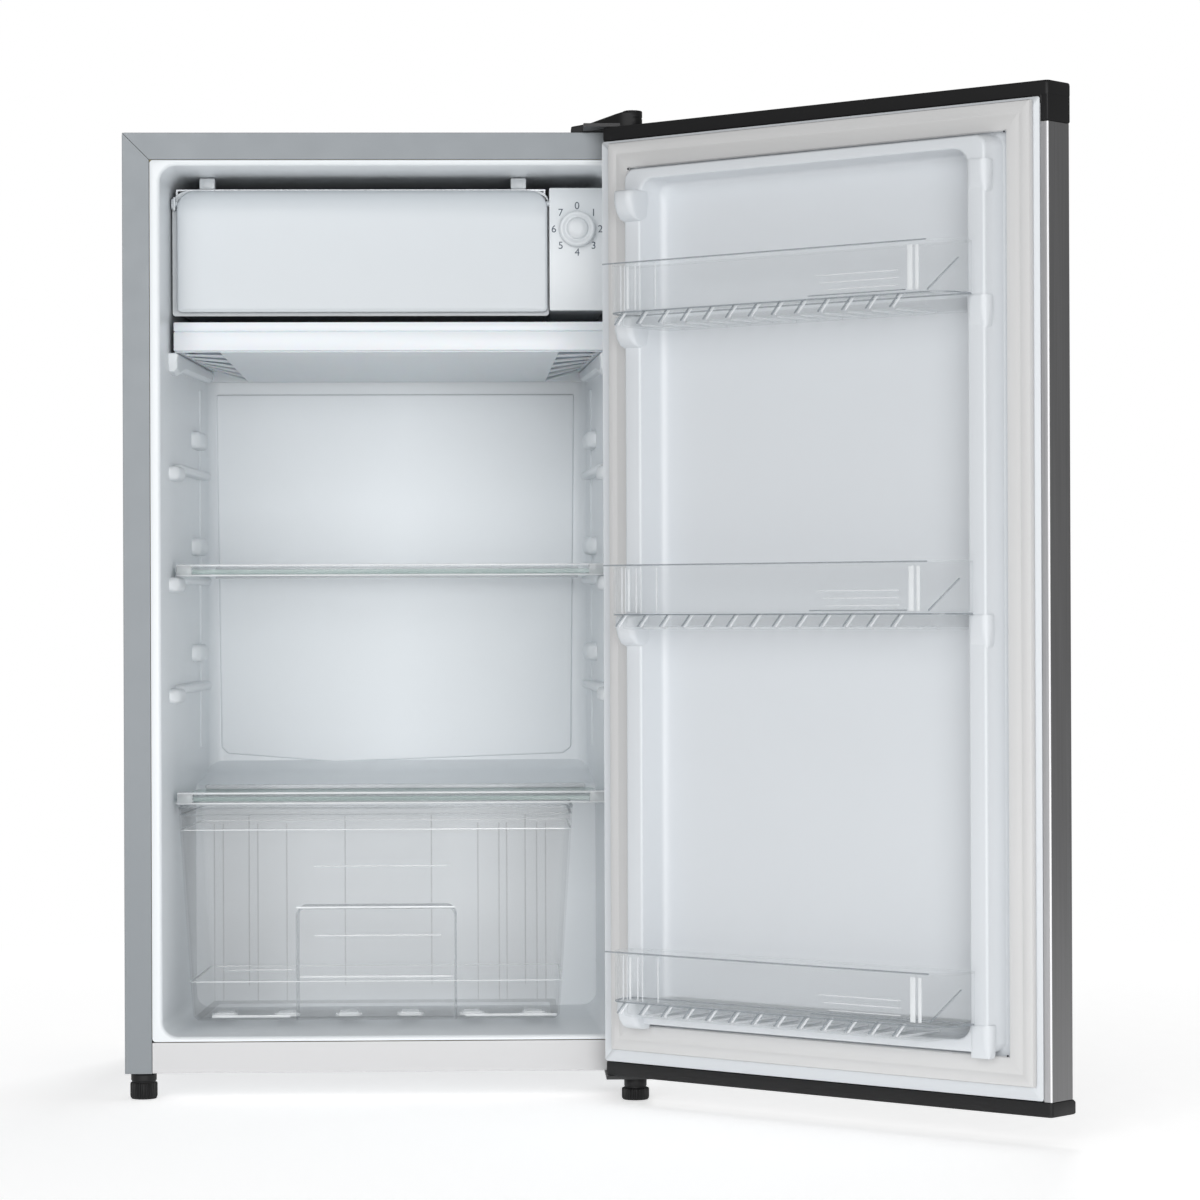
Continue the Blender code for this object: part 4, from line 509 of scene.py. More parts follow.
def back_emboss():
    """The shallow raised panel on the back wall, with its shallow V at the bottom."""
    work = bmesh.new()
    outline = [(-172, 297), (-166, 291), (-62, 282.5), (160, 290), (168, 296), (172, 640), (-176, 640)]
    slab(work, outline, CAVITY_BACK - 2.4, CAVITY_BACK + 1, "Y")
    put("back_wall_panel", work, "liner", "cabinet", bevel=2.2)


def shelf_support(level, side):
    """A runner with a swollen front end, and the hold-down bump over its back half."""
    work = bmesh.new()
    low_shelf = level < 300
    end = 236 if low_shelf else 322

    def bar(start, stop, low, high, reach):
        rings = []
        for y, t in ((start, 0.0), (start + 3, 0.8), (start + 8, 1.0), (stop - 8, 1.0), (stop - 3, 0.8),
                     (stop, 0.0)):
            wall = wall_x(y, -1.0)
            inner = wall_x(y, reach * t)
            mid = (low + high) / 2
            tall = (high - low) / 2 * (0.5 + 0.5 * t)
            ring = []
            for i in range(9):
                a = math.pi * i / 8 - math.pi / 2
                ring.append((side * (wall - (wall - inner) * max(0.0, math.cos(a)) ** 0.35), y,
                             mid + tall * math.sin(a)))
            rings.append(ring)
        loft(work, rings)

    thickness = 3.2 if low_shelf else 8.5
    top = level - 0.3
    bar(100, end, top - thickness, top, 8.7)
    if not low_shelf:
        bar(58, 112, top - 16, top - 2.6, 9.5)
        bar(228, 290, top + 19, top + 36, 9.5)
    put(f"shelf_support_{level}_{SIDES[side]}", work, "liner", "cabinet", sharp=60)


def wall_column(side):
    """A shallow upright rib on the side wall behind the supports."""
    work = bmesh.new()
    profile = ((288, -1), (291, 1.4), (312, 1.4), (315, -1))
    loft(work, [[(side * wall_x(y, inset), y, z) for y, inset in profile] for z in (300, 640)])
    put(f"wall_column_{SIDES[side]}", work, "liner", "cabinet", bevel=0.8)


def tray_support(side):
    """The runner under the drip tray, with its rounded front boss."""
    work = bmesh.new()
    top = 660.4
    rings = []
    for y, low in ((60, 652), (64, 644), (84, 641), (130, 647), (345, 650)):
        wall, inner = wall_x(y, -1), wall_x(y, 8.4)
        rings.append([(side * wall, y, top), (side * (inner + 1.5), y, top), (side * inner, y, top - 2),
                      (side * (inner + 1), y, low + 3), (side * (inner + 4), y, low), (side * wall, y, low)])
    loft(work, rings)
    put(f"tray_support_{SIDES[side]}", work, "liner", "cabinet", bevel=1.0)


def base_rail():
    """The white rail: a rounded front with a turned-under lip."""
    work = bmesh.new()
    half = FLANGE_INNER - 0.5
    outline = [(0.2, 50.7), (0.0, 49.5), (0.0, 26.0), (0.6, 24.4), (2.0, 23.7), (34.0, 23.7), (34.0, 25.4),
               (2.6, 25.4), (2.0, 26.4), (2.0, 50.7)]
    slab(work, outline, -half, half, "X")
    put("base_rail_front", work, "rail", "cabinet", ("base_rail",), sharp=50)


# --- freezer compartment


def flap():
    """The flap: a flat front that rolls back along its top, round corners, and pins at its ends."""
    work = bmesh.new()
    x0, x1, z0, z1 = -189.7, 142.0, 697.2, 807.0
    front = 63.0
    roll = 25.0
    depth_at_top = 12.0
    low_radius = 3.5

    def roll_back(z):
        t = max(0.0, (z - (z1 - roll)) / roll)
        return depth_at_top * (1 - math.sqrt(max(0.0, 1 - t * t)))

    def side_inset(z):
        for corner_z, radius in ((z1, 17.0), (z0, low_radius)):
            d = radius - abs(corner_z - z)
            if d > 0:
                return radius - math.sqrt(max(0.0, radius ** 2 - d * d))
        return 0.0

    heights = [z0 + low_radius * (1 - math.cos(a)) for a in quarter(4)]
    heights += [z0 + 12, z0 + 50, z1 - roll - 1] + [z1 - roll * (1 - math.sin(a)) for a in quarter(10)]
    edge = [(0.0, 2.2), (0.5, 1.0), (1.4, 0.3), (2.6, 0.0), (12.0, 0.0)]
    front_rows = []
    for z in heights:
        left, right = x0 + side_inset(z), x1 - side_inset(z)
        lift = max(0.0, 2.0 - (z - z0)) * 0.6
        row = [(left + dx, front + roll_back(z) + max(dy, lift), z) for dx, dy in edge]
        row += [((left * (4 - i) + right * i) / 4, front + roll_back(z) + lift, z) for i in range(1, 4)]
        row += [(right - dx, front + roll_back(z) + max(dy, lift), z) for dx, dy in edge[::-1]]
        front_rows.append(row)
    rows = [[work.verts.new(p) for p in row] for row in front_rows]
    behind = [[work.verts.new((p[0], FLAP_BACK, p[2])) for p in row] for row in front_rows]
    last = len(rows[0]) - 1
    for a, b, c, d in zip(rows, rows[1:], behind, behind[1:]):
        for i in range(last):
            work.faces.new((a[i], a[i + 1], b[i + 1], b[i]))
            work.faces.new((c[i], c[i + 1], d[i + 1], d[i]))
        work.faces.new((a[0], b[0], d[0], c[0]))
        work.faces.new((a[last], b[last], d[last], c[last]))
    for r, s in ((rows[0], behind[0]), (rows[-1], behind[-1])):
        for i in range(last):
            work.faces.new((r[i], r[i + 1], s[i + 1], s[i]))
    for inner, outer in ((-188, -194.2), (140, 146.5)):
        rod(work, (inner, PIN_Y, PIN_Z), (outer, PIN_Y, PIN_Z), 2.5)
    put("flap_door", work, "flap", "flap", ("freezer_flap",), sharp=50)


def flap_frame():
    """The surround behind the flap, the pin's ear and washer, and the ceiling clips."""
    work = bmesh.new()
    outer = corner_outline((-194.6, 694.3), (143.4, 806.6), [3, 3, 10, 13])
    inner = corner_outline((-190.6, 701.3), (142.5, 803.4), [3, 3, 8, 11])
    frame_loft(work, outer, inner, 77.2, 84.8)
    block(work, (-193.1, 66.2, 788.4), (-191.1, 84, 800.4), 0.8)
    rod(work, (-193.3, PIN_Y, PIN_Z), (-194.6, PIN_Y, PIN_Z), 5.0, 24)
    put("flap_surround", work, "moulded", "cabinet", ("freezer_frame",), bevel=0.4)
    for word, x in (("left", -164), ("right", 116.3)):
        work = bmesh.new()
        block(work, (x - 7, 86, 809.4), (x + 7, 100, 819.3), 1.2)
        block(work, (x - 4, 85.4, 811), (x + 4, 86.4, 817), 0.4)
        put("ceiling_clip_" + word, work, "moulded", "cabinet", ("evaporator_clip_" + word,))


def thermostat():
    """The housing with a lighter top edge, the dial figures and the knob."""
    work = bmesh.new()

    def plan(z, inset):
        return [(143.8 + inset, 66 + inset, z), (194.1 - inset, 66 + inset, z), (188.2 - inset, 204.8, z),
                (143.8 + inset, 204.8, z)]

    levels = ((698.2, 1.2), (698.5, 0.5), (699.4, 0), (807.3, 0), (808.2, 0.5), (808.4, 1.2))
    loft(work, [plan(z, inset) for z, inset in levels])
    put("control_housing", work, "moulded", "cabinet", ("thermostat_housing",), bevel=0.8)
    for index in range(8):
        turn = math.radians(45 * index)
        figure(str(index), (DIAL[0] + FIGURE_CIRCLE * math.sin(turn), 65.9,
                            DIAL[2] + FIGURE_CIRCLE * math.cos(turn)))
    knob()


def figure(text, centre):
    """A printed dial figure."""
    curve = bpy.data.curves.new("figure_" + text, "FONT")
    curve.body = text
    curve.size = FIGURE_SIZE
    curve.align_x = "CENTER"
    curve.align_y = "CENTER"
    curve.extrude = 0.06
    holder = bpy.data.objects.new("figure_source", curve)
    bpy.context.scene.collection.objects.link(holder)
    bpy.context.view_layer.update()
    mesh = bpy.data.meshes.new_from_object(holder.evaluated_get(bpy.context.evaluated_depsgraph_get()))
    bpy.data.objects.remove(holder, do_unlink=True)
    work = bmesh.new()
    work.from_mesh(mesh)
    bmesh.ops.rotate(work, cent=(0, 0, 0), matrix=Matrix.Rotation(math.pi / 2, 3, "X"), verts=work.verts)
    bmesh.ops.translate(work, vec=centre, verts=work.verts)
    put("dial_figure_" + text, work, "figures", "cabinet")


def knob():
    """The dial: a dished disc with a raised hub and a small pointer mark."""
    work = bmesh.new()
    profile = [(3.4, 0.0), (15.2, 0.0), (16.0, 0.5), (16.2, 2.0), (16.0, 7.6), (15.4, 8.9), (14.4, 9.5),
               (12.9, 9.4), (11.6, 8.6), (10.4, 8.2), (9.6, 8.6), (9.3, 9.4), (9.1, 11.2), (8.4, 11.9),
               (4.0, 12.0), (0.2, 12.0)]
    turned(work, profile, DIAL, "Y", 48)
    block(work, (168.2, 55.7, 784.4), (169.2, 57.4, 786.6), 0.3)
    put("dial_knob", work, "moulded", "knob", ("thermostat_knob",), sharp=50)


def drip_tray():
    """The tray: a fascia with a seam under its top edge, slotted sloping sides and a sinking trough."""
    work = bmesh.new()
    block(work, (-192.8, 63.2, 662.4), (192.8, 72, 679.4), 0.9)
    block(work, (-192.8, 63.0, 679.9), (192.8, 72, 687.9), 0.9)
    block(work, (-191.8, 64.0, 679), (191.8, 71.5, 681), 0.2)

    def half(y):
        return wall_x(y, 4.0)

    def trough_half(y):
        return 152 - 8.5 * (y - TRAY_FRONT) / 288

    def trough_low(y):
        return 661.3 - 10 * (y - TRAY_FRONT) / 288

    stations = [70, 110, 200, 300, TRAY_BACK]
    for side in SIDES:
        for width, low, top in ((5.5, 661.2, 664), (2, 663, 684)):
            rings = []
            for y in stations:
                outer, inner = side * half(y), side * (half(y) - width)
                rings.append([(outer, y, low), (inner, y, low), (inner, y, top), (outer, y, top)])
            loft(work, rings)
        bars = 6
        for index in range(bars + 1):
            y = TRAY_FRONT + (TRAY_BACK - TRAY_FRONT) / bars * index
            w = 8 if index in (0, bars) else 10
            near, far = (min(max(y + dy, 70.5), 359) for dy in (-w / 2, w / 2))
            section = ((near, 0), (far, 0), (far, 1.6), (near, 1.6))
            loft(work, [[(side * (half(at) - 5), at, 661.4 + up) for at, up in section],
                        [(side * trough_half(at), at, trough_low(at) + 0.4 + up) for at, up in section]])
    rings = []
    for y in stations:
        w, low = trough_half(y), trough_low(y)
        outline = ((-w - 2, 5), (-w, 0), (w, 0), (w + 2, 5), (w + 1, 6.5), (w - 1, 1.8), (1 - w, 1.8),
                   (-w - 1, 6.5))
        rings.append([(x, y, low + z) for x, z in outline])
    loft(work, rings)
    block(work, (-half(TRAY_BACK) + 1, 356.5, 651.5), (half(TRAY_BACK) - 1, 359.6, 684), 0.6)
    put("drip_tray_pan", work, "tray", "tray", ("drip_tray",), bevel=0.35)
    # the inner floor, seen through the slots between the bars, is coloured as painted shade
    work = bmesh.new()
    loft(work, [[(x * (half(y) - 3), y, z) for x, z in ((-1, 667.5), (1, 667.5), (1, 668.7), (-1, 668.7))]
                for y in (73, 356)])
    put("drip_tray_inner_floor", work, "slot_shade", "tray", bevel=0.3)


# --- shelves and drawer


def shelf(body, bottom, back):
    """Glass with green edges, a clear front trim with a lip, and a rear trim."""
    def outline(inset):
        corners = ((SHELF_FRONT, -1, 1), (SHELF_FRONT, 1, 1), (back - 3, 1, -1), (back - 3, -1, -1))
        return [(side * (wall_x(y, 2.6) - inset), y + shift * inset) for y, side, shift in corners]

    work = bmesh.new()
    levels = ((0.5, 0.0), (0.0, 0.5), (0.0, 3.5), (0.5, 4.0))
    loft(work, [[(x, y, bottom + z) for x, y in outline(inset)] for inset, z in levels])
    work.normal_update()
    for face in work.faces:
        face.material_index = 0 if abs(face.normal.z) > 0.9 else 1
    put(body + "_pane", work, "glass", body, (body + "_glass",), extra=("glass_edge",))
    work = bmesh.new()
    low = bottom - 2.3
    half = wall_x(97, 2.8)
    block(work, (-half, 80.4, low + 1.0), (half, 82.2, low + 10.0), 0.6)
    # painted highlights: the bright bars along the trim's bottom and top edges
    for z, thick in ((low, 1.7), (low + 8.9, 1.9)):
        block(work, (-half, 79.2, z), (half, 82.6, z + thick), 0.7, slot=1)
    boxes(work, (((-half, 82, low + 7.2), (half, 96.8, low + 8.4)),
                 ((-half, 82, low + 0.3), (half, 96.8, low + 1.5))), 0.4)
    for side in SIDES:
        middle = side * (half - 7)
        block(work, (middle - 7, 79.1, low), (middle + 7, 96.9, low + 10.9), 1.4, slot=2)
    put(body + "_front_lip", work, "bin_wall", body, (body + "_front_trim",),
        extra=("painted_highlight", "bin_rib"))
    work = bmesh.new()
    half = wall_x(back, 10.5)
    block(work, (-half, back - 10.8, low), (half, back - 0.2, low + 2.1), 0.8)
    block(work, (-half, back - 10.8, low + 6.8), (half, back - 0.2, low + 10.8), 1.2)
    block(work, (-half, back - 2.4, low + 0.5), (half, back - 0.3, low + 10), 0.6)
    put(body + "_rear_lip", work, "bin_rib", body, (body + "_rear_trim",))


def drawer_ring(z, inset, radius):
    """The crisper's outline at a height, with rounded upright corners; its sides lean in towards the base."""
    lean = 12.5 * (253 - z) / 192.5
    left_front, left_back = (3.9 - wall_x(y) + lean + inset for y in (CRISPER_FRONT, CRISPER_BACK))
    right = 163.4 - lean - inset
    front, back = CRISPER_FRONT + inset, CRISPER_BACK - inset - lean / 2
    points = []
    for (u, v), (cu, cv) in zip(corner_outline((0, 0), (200, 100), radius, 5),
                                corner_outline((0, 0), (200, 100), 0.001, 5)):
        left = left_front + (left_back - left_front) * round(cv / 100)
        points.append(((left if cu < 100 else right) + (u - cu), (front if cv < 50 else back) + (v - cv), z))
    return points


def drawer_band(work, low, high, inset, width):
    """A band round the crisper's wall."""
    loft(work, [drawer_ring(low, inset, 7), drawer_ring(high, inset, 7), drawer_ring(high, inset + width, 6),
                drawer_ring(low, inset + width, 6)], loop=True)


def drawer():
    """The clear crisper: thin walls, a rim, faint ribs, a base with slots, painted highlights, and a finger
    pocket.
    """
    work = bmesh.new()
    loft(work, [drawer_ring(*level) for level in (
        (62.6, CRISPER_WALL + 3.5, 5), (66, CRISPER_WALL, 6), (120, CRISPER_WALL, 6), (200, CRISPER_WALL, 6),
        (CRISPER_TOP, CRISPER_WALL, 6), (CRISPER_TOP, 0.0, 7), (246.4, 0, 7), (150, 0, 7), (64.5, 0.3, 7),
        (60.6, 4.0, 6))])
    pieces = [put("crisper_tub", work, "drawer_wall", "crisper", ("crisper_drawer",), sharp=50)]
    work = bmesh.new()
    drawer_band(work, 251.9 - 0.95, 251.9 + 0.95, 0.0, 2.4)
    drawer_band(work, 246.0 - 0.4, 246.0 + 0.4, 0.6, 2.4)
    pieces.append(put("crisper_rim", work, "drawer_edge", "crisper"))
    work = bmesh.new()
    loft(work, [drawer_ring(61.2, 4.4, 6), drawer_ring(63.6, 1.6, 7), drawer_ring(63.6, 4.4, 6),
                drawer_ring(61.2, 7.0, 6)], loop=True)
    front_ribs = (-160, -152, -121, -95, 77, 96, 103, 130, 138)
    uprights(work, [(x, 1.0) for x in front_ribs], 86.0, 86.5, 78, 238, 0.2)
    uprights(work, [(x, 1.0) for x in (-138, -48, 33, 121)], 235, 235.8, 78, 238, 0.2)
    pieces.append(put("crisper_ribs", work, "drawer_rib", "crisper"))
    # painted highlights: the base slots' frames are drawn bright, and the two bands round the wall and the
    # small patches stand only for glints
    work = bmesh.new()
    for x in range(-164, 117, 56):
        outer = (x, x + 24, 100, 118, 5)
        inner = (x + 2.4, x + 21.6, 102.4, 115.6, 3)
        loft(work, [ring_z(*outer, 62.9, 4), ring_z(*outer, 64.6, 4), ring_z(*inner, 64.6, 4),
                    ring_z(*inner, 62.9, 4)], loop=True)
        block(work, (x + 3, 119, 62.8), (x + 19, 150, 63.5), 0.3)
    for z in (95.8, 232.4):
        drawer_band(work, z - 0.4, z + 0.4, 0.1, 1.5)
    boxes(work, (((-162, 86.6, 63.2), (-92, 88.4, 65.6)), ((66, 86.6, 63.2), (148, 88.4, 65.6)),
                 ((-84, 112, 96.2), (54, 113.6, 98.2)), ((-160, 232, 92), (-96, 233, 93.4)),
                 ((-86, 84.1, 161.4), (57, 84.5, 163.2)), ((-76, 233, 189), (50, 234, 190.4)),
                 ((-70, 112.6, 134), (44, 113.6, 135.2))), 0.2)
    pieces.append(put("crisper_highlights", work, "painted_highlight", "crisper"))
    for piece in pieces:  # the stacked clear layers would darken the compartment more than the real ones do
        piece.visible_shadow = False
    work = bmesh.new()
    pocket(work)
    put("crisper_pocket_frame", work, "drawer_edge", "crisper")


def pocket(work):
    """The finger pocket: an arch-topped frame on the front, one on its inner wall, and its ceiling."""
    x0, x1, top = -86.5, 58.0, 163.3
    outer = corner_outline((x0, 61.0), (x1, top), [0.1, 0.1, 9, 9], 6)
    inner = corner_outline((x0 + 1.9, 61.0), (x1 - 1.9, top - 1.9), [0.1, 0.1, 7.2, 7.2], 6)
    for near, far in ((84.6, 85.8), (112.4, 113.2)):
        frame_loft(work, outer, inner, near, far)
    block(work, (x0 + 2, 86, top - 2.6), (x1 - 2, 113, top - 2.0), 0.2)


# --- door


def door_shell():
    """The steel wrap: a rounded outer skin with returns and folds, cut back at the top of the free edge."""
    work = bmesh.new()
    left, right = DOOR_FREE_EDGE, DOOR_HINGE_EDGE
    f, b = DOOR_FRONT, DOOR_BACK
    r = 3.0
    outline = [(left + 7.4, b - 0.1), (left + 1.2, b - 0.1), (left + 0.2, b - 1.0)]
    outline += [(left + r - r * math.cos(a), f + r - r * math.sin(a)) for a in quarter(5)]
    outline += [(right - r + r * math.sin(a), f + r - r * math.cos(a)) for a in quarter(5)]
    outline += [(right - 0.2, b - 1.0), (right - 1.2, b - 0.1), (right - 7.4, b - 0.1)]
    t = 0.9
    fold = ((7.4, b - t), (1.6, b - t), (t, b - 2.0), (t, f + 3), (3, f + t))
    inner = [(right - x, y) for x, y in fold] + [(left + x, y) for x, y in fold[::-1]]
    slab(work, outline + inner, DOOR_LOW, DOOR_NOTCH, "Z")
    put("door_wrap", work, "steel", "door", ("door_panel",), sharp=40)
    work = bmesh.new()
    trimmed = []
    for x, y in outline + inner:
        point = (max(x, left + 6.8), y)
        if not trimmed or abs(point[0] - trimmed[-1][0]) + abs(point[1] - trimmed[-1][1]) > 0.01:
            trimmed.append(point)
    slab(work, trimmed, DOOR_NOTCH, DOOR_HIGH, "Z")
    put("door_wrap_top", work, "steel", "door", sharp=40)


def free_edge():
    """The fold at the free edge, laid with a lighter strip of painted light, and a painted highlight along
    its rolled corner.
    """
    work = bmesh.new()
    block(work, (DOOR_FREE_EDGE + 1.6, 20.4, DOOR_LOW), (DOOR_FREE_EDGE + 7.2, 21.2, DOOR_NOTCH), 0.3)
    put("door_fold", work, "fold", "door")
    work = bmesh.new()
    rod(work, (DOOR_FREE_EDGE + 0.9, 20.3, DOOR_LOW), (DOOR_FREE_EDGE + 0.9, 20.3, DOOR_NOTCH), 0.9, 12)
    put("door_fold_highlight", work, "fold_highlight", "door")


def door_caps():
    """The black end caps: a tall top cap with a tab over the free edge, and a bottom cap with a front lip."""
    work = bmesh.new()
    left, right = DOOR_FREE_EDGE, DOOR_HINGE_EDGE

    def stack(*levels):
        """Rings from (x inset, front, back, radius, z), between the cap's ends."""
        loft(work, [ring_z(left + inset, right - inset, *rest) for inset, *rest in levels])

    stack((0.8, -11.7, 20.2, 3, 849.8), (0.2, -12.3, 20.8, 3, 849), (0, -12.5, 21, 3, 847.5),
          (0, -12.5, 21, 3, 839.6), (0.3, -12.2, 20.9, 3, 838.2), (1, -11.4, 20.4, 3, 837.8))
    for tab in (((0, 6.5, -11.2, 21, 1.4, 838.5), (0, 6.5, -11.2, 21, 1.4, 818.6),
                 (0.6, 6.0, -10.6, 20.4, 1.2, 817.4)),
                ((6, 16, 14, 21, 1.4, 838.5), (6, 13, 15, 21, 1.4, 834.5), (6, 8, 17, 21, 0.9, 831.5))):
        loft(work, [ring_z(left + start, left + end, *rest) for start, end, *rest in tab])
    put("door_cap_top", work, "black", "door", ("door_top_cap",), sharp=40)
    work = bmesh.new()
    stack((0.8, -14.2, 20.2, 3, 23.8), (0, -15, 21, 3, 24.8), (0, -15, 21, 3, 33.5), (0, -12.5, 21, 3, 35.4),
          (0.6, -11.6, 20.5, 3, 35.8))
    put("door_cap_bottom", work, "black", "door", ("door_bottom_cap",), sharp=40)


def door_inner():
    """The formed inner sheet: flange, outer slope, rounded dyke, inner slope and recess, with its bosses."""
    work = bmesh.new()
    left, right = DOOR_FREE_EDGE + 7.8, DOOR_HINGE_EDGE - 0.4
    low, high = DOOR_LOW + 0.4, DOOR_HIGH - 0.4
    rings = [ring_y(left + a, right - b, low + a, high - a, 2, y, 8)
             for a, b, y in ((0, 7.4, 12.5), (0, 7.4, 21.0), (0, 0, 21.1), (0.4, 0.3, 21.8))]

    def ring(inset, y, radius):
        rings.append(ring_y(MIDDLE - 190 + inset, MIDDLE + 190 - inset, 73 + inset * 0.55,
                            809 - inset * 0.55, radius, y, 8))

    ring(-3, 21.8, 12)
    ring(-1, 22.0, 11)
    ring(0.2, 23.4, 10)
    ring(2.2, 42, 9)
    for a in quarter(4):
        ring(2.3 + 2.4 * (1 - math.cos(a)), 42.6 + 2.4 * math.sin(a), 9 + math.sin(a))
    for a in quarter(4):
        ring(17.4 + 2.4 * math.sin(a), 45 - 2.4 * (1 - math.cos(a)), 12 + 2 * math.sin(a))
    ring(22, 23, 14)
    for a in quarter(6)[1:]:
        ring(22 + 9 * (1 - math.cos(a)), 23 - 7 * math.sin(a), 14 + 3 * math.sin(a))
    ring(60, 15.8, 20)
    loft(work, rings)
    put("door_formed_liner", work, "door_liner", "door", ("door_liner",), sharp=60)
    for index, (_, underside) in enumerate((*BINS, ("spare", SPARE_BIN)), start=1):
        for side in SIDES:
            bin_boss(index, side, underside + BIN_SHOULDER - 0.3)


def bin_boss(index, side, top):
    """A rounded boss on the dyke that a bin's shoulder rests on."""
    work = bmesh.new()
    rings = []
    for drop, t in ((26.5, 0.0), (24, 0.45), (18, 0.8), (10, 1.0), (2, 1.0), (0.5, 0.92), (0, 0.8)):
        near, far = 168.6 + 2 * (1 - t), 189.6 - 1.5 * (1 - t)
        reach = 44 + (15.8 if side > 0 else 2.2) * t
        x0, x1 = sorted((MIDDLE + side * near, MIDDLE + side * far))
        rings.append(ring_z(x0, x1, 36, reach, [0.5, 0.5, 6.0 * t + 0.5, 6.0 * t + 0.5], top - drop, 5))
    loft(work, rings)
    put(f"bin_boss_{index}_{'free' if side < 0 else 'hinge'}", work, "door_liner", "door", sharp=60)


def gasket():
    """The seal: a bellows profile run round the door, with mitred corners."""
    work = bmesh.new()
    profile = [(2.5, 21.3), (1.0, 22.4), (0.2, 24.2), (0.0, 26.4), (0.8, 28.3), (2.4, 29.2), (8.0, 29.2),
               (9.2, 28.6), (10.4, 28.6), (11.6, 29.2), (20.0, 29.2), (22.4, 28.7), (23.4, 27.2),
               (23.2, 25.6), (21.6, 24.8), (20.6, 23.4), (21.2, 21.8), (20.4, 21.3)]
    left, right = DOOR_FREE_EDGE + SEAL_INSET, DOOR_HINGE_EDGE - SEAL_INSET
    loft(work, [ring_y(left + inset, right - inset, 47.5 + inset, 834.5 - inset, 0.4, y, 1)
                for inset, y in profile], loop=True)
    put("magnetic_gasket", work, "gasket", "door", ("door_gasket",), sharp=35)
    # painted shade: dark dots for the small holes at the gasket's inner corners
    work = bmesh.new()
    for x in (MIDDLE - 196, MIDDLE + 196):
        for z in (71.5, 810.5):
            rod(work, (x, 28.9, z), (x, 29.45, z), 0.9, 12)
    put("gasket_corner_hole_shade", work, "hole_shade", "door")


def bin_rings(narrow, levels):
    """Outlines of a bin's lower body (narrow) or upper tub, from (inset, height)."""
    rings = []
    for inset, z in levels:
        half = (160 if narrow else 177.5) - inset
        back = (18 if narrow else 47) + inset
        front = (84 if narrow else 87) - inset
        radius = 4 if narrow else 22 - inset
        rings.append([(x, y, z) for x, y in corner_outline((MIDDLE - half, back), (MIDDLE + half, front),
                                                           [2, 2, radius, radius])])
    return rings


def door_bin(name, underside):
    """A clear bin: a wide tub over a narrow lower body, with its edges, ribs, embossing and strokes."""
    body = name + "_body"
    shoulder, rim = underside + BIN_SHOULDER, underside + BIN_RIM
    t = BIN_WALL
    work = bmesh.new()
    loft(work, bin_rings(False, ((1.2, shoulder), (0.3, shoulder + 0.5), (0, shoulder + 1.5), (0, rim - 1.6),
                                 (t, rim - 1.6), (t, shoulder + t + 1), (t + 1, shoulder + t))))
    tub = put(name + "_tub", work, "bin_wall", body, (name,), sharp=50)
    tub.visible_shadow = False  # as for the crisper
    work = bmesh.new()
    loft(work, bin_rings(True, ((3.0, underside), (0.6, underside + 0.8), (0, underside + 2.2),
                                (0, shoulder + 0.2), (1.6, shoulder + 0.2), (1.6, underside + 2.8),
                                (3.0, underside + 1.8))))
    put(name + "_lower_body", work, "bin_wall", body, sharp=50)
    work = bmesh.new()
    loft(work, bin_rings(False, ((0.0, rim - 1.6), (0.0, rim), (2.3, rim), (2.3, rim - 1.6))), loop=True)
    put(name + "_rim_band", work, "drawer_rib", body, sharp=50)
    work = bmesh.new()
    loft(work, bin_rings(False, ((0.2, shoulder), (0.2, shoulder + 1.2), (2.0, shoulder + 1.2),
                                 (2.0, shoulder))), loop=True)
    block(work, (MIDDLE - 160, 86.2, rim - 1.2), (MIDDLE + 177, 87.0, rim), 0.3)
    rod(work, (-370, 78, rim - 40), (-388, 60, rim - 14), 0.7, 8)
    put(name + "_edges", work, "bin_edge_and_shade", body, sharp=50)
    bin_ribs(name, body, underside, shoulder, rim)


def bin_strokes(work, first, y, radius, underside, shoulder):
    """Slanted strokes along the front of the lower body."""
    for index in range(13):
        x = first + BIN_PITCH * index
        rod(work, (x + 9, y, underside + 2.5), (x, y, shoulder + 1.0), radius, 8)


def bin_ribs(name, body, underside, shoulder, rim):
    """Ribs at the hinge end, embossed bars, slanted strokes, base ribs, painted highlight bars, and painted
    shade beside each stroke with a darker line under the bars.
    """
    work = bmesh.new()
    bars = ((-58, 1.4), (-62, 1.0), (-74, 1.6), (-79, 1.0), (-96, 1.2))
    uprights(work, bars, 84.6, 85.4, shoulder + 2, rim - 3, 0.3)
    for below, right in ((36, -274.6), (30, -269.8), (24, -265.0)):
        block(work, (-346, 84.4, rim - below), (right, 85.2, rim - below + 1.1), 0.3)
    bin_strokes(work, -350, 83.6, 1.0, underside, shoulder)
    for index in range(12):
        x = -340 + BIN_PITCH * index
        block(work, (x, 22, underside + 0.6), (x + 2, 78, underside + 2.4), 0.5)
    put(name + "_ribs", work, "bin_rib", body)
    work = bmesh.new()
    # painted highlights: bright upright bars on the tub's front
    uprights(work, ((-367, 3.2), (-361, 5.0), (-66, 2.0)), 84.7, 85.5, shoulder + 3, rim - 4, 0.3)
    put(name + "_highlights", work, "painted_highlight", body)
    work = bmesh.new()
    # painted shade: a darker copy of each stroke, just beside it
    bin_strokes(work, -346, 83.2, 0.8, underside, shoulder)
    block(work, (-354, 84.5, rim - 40), (-256, 85.2, rim - 39), 0.3)
    put(name + "_strokes", work, "bin_edge_and_shade", body)


# --- hinges, feet and machinery


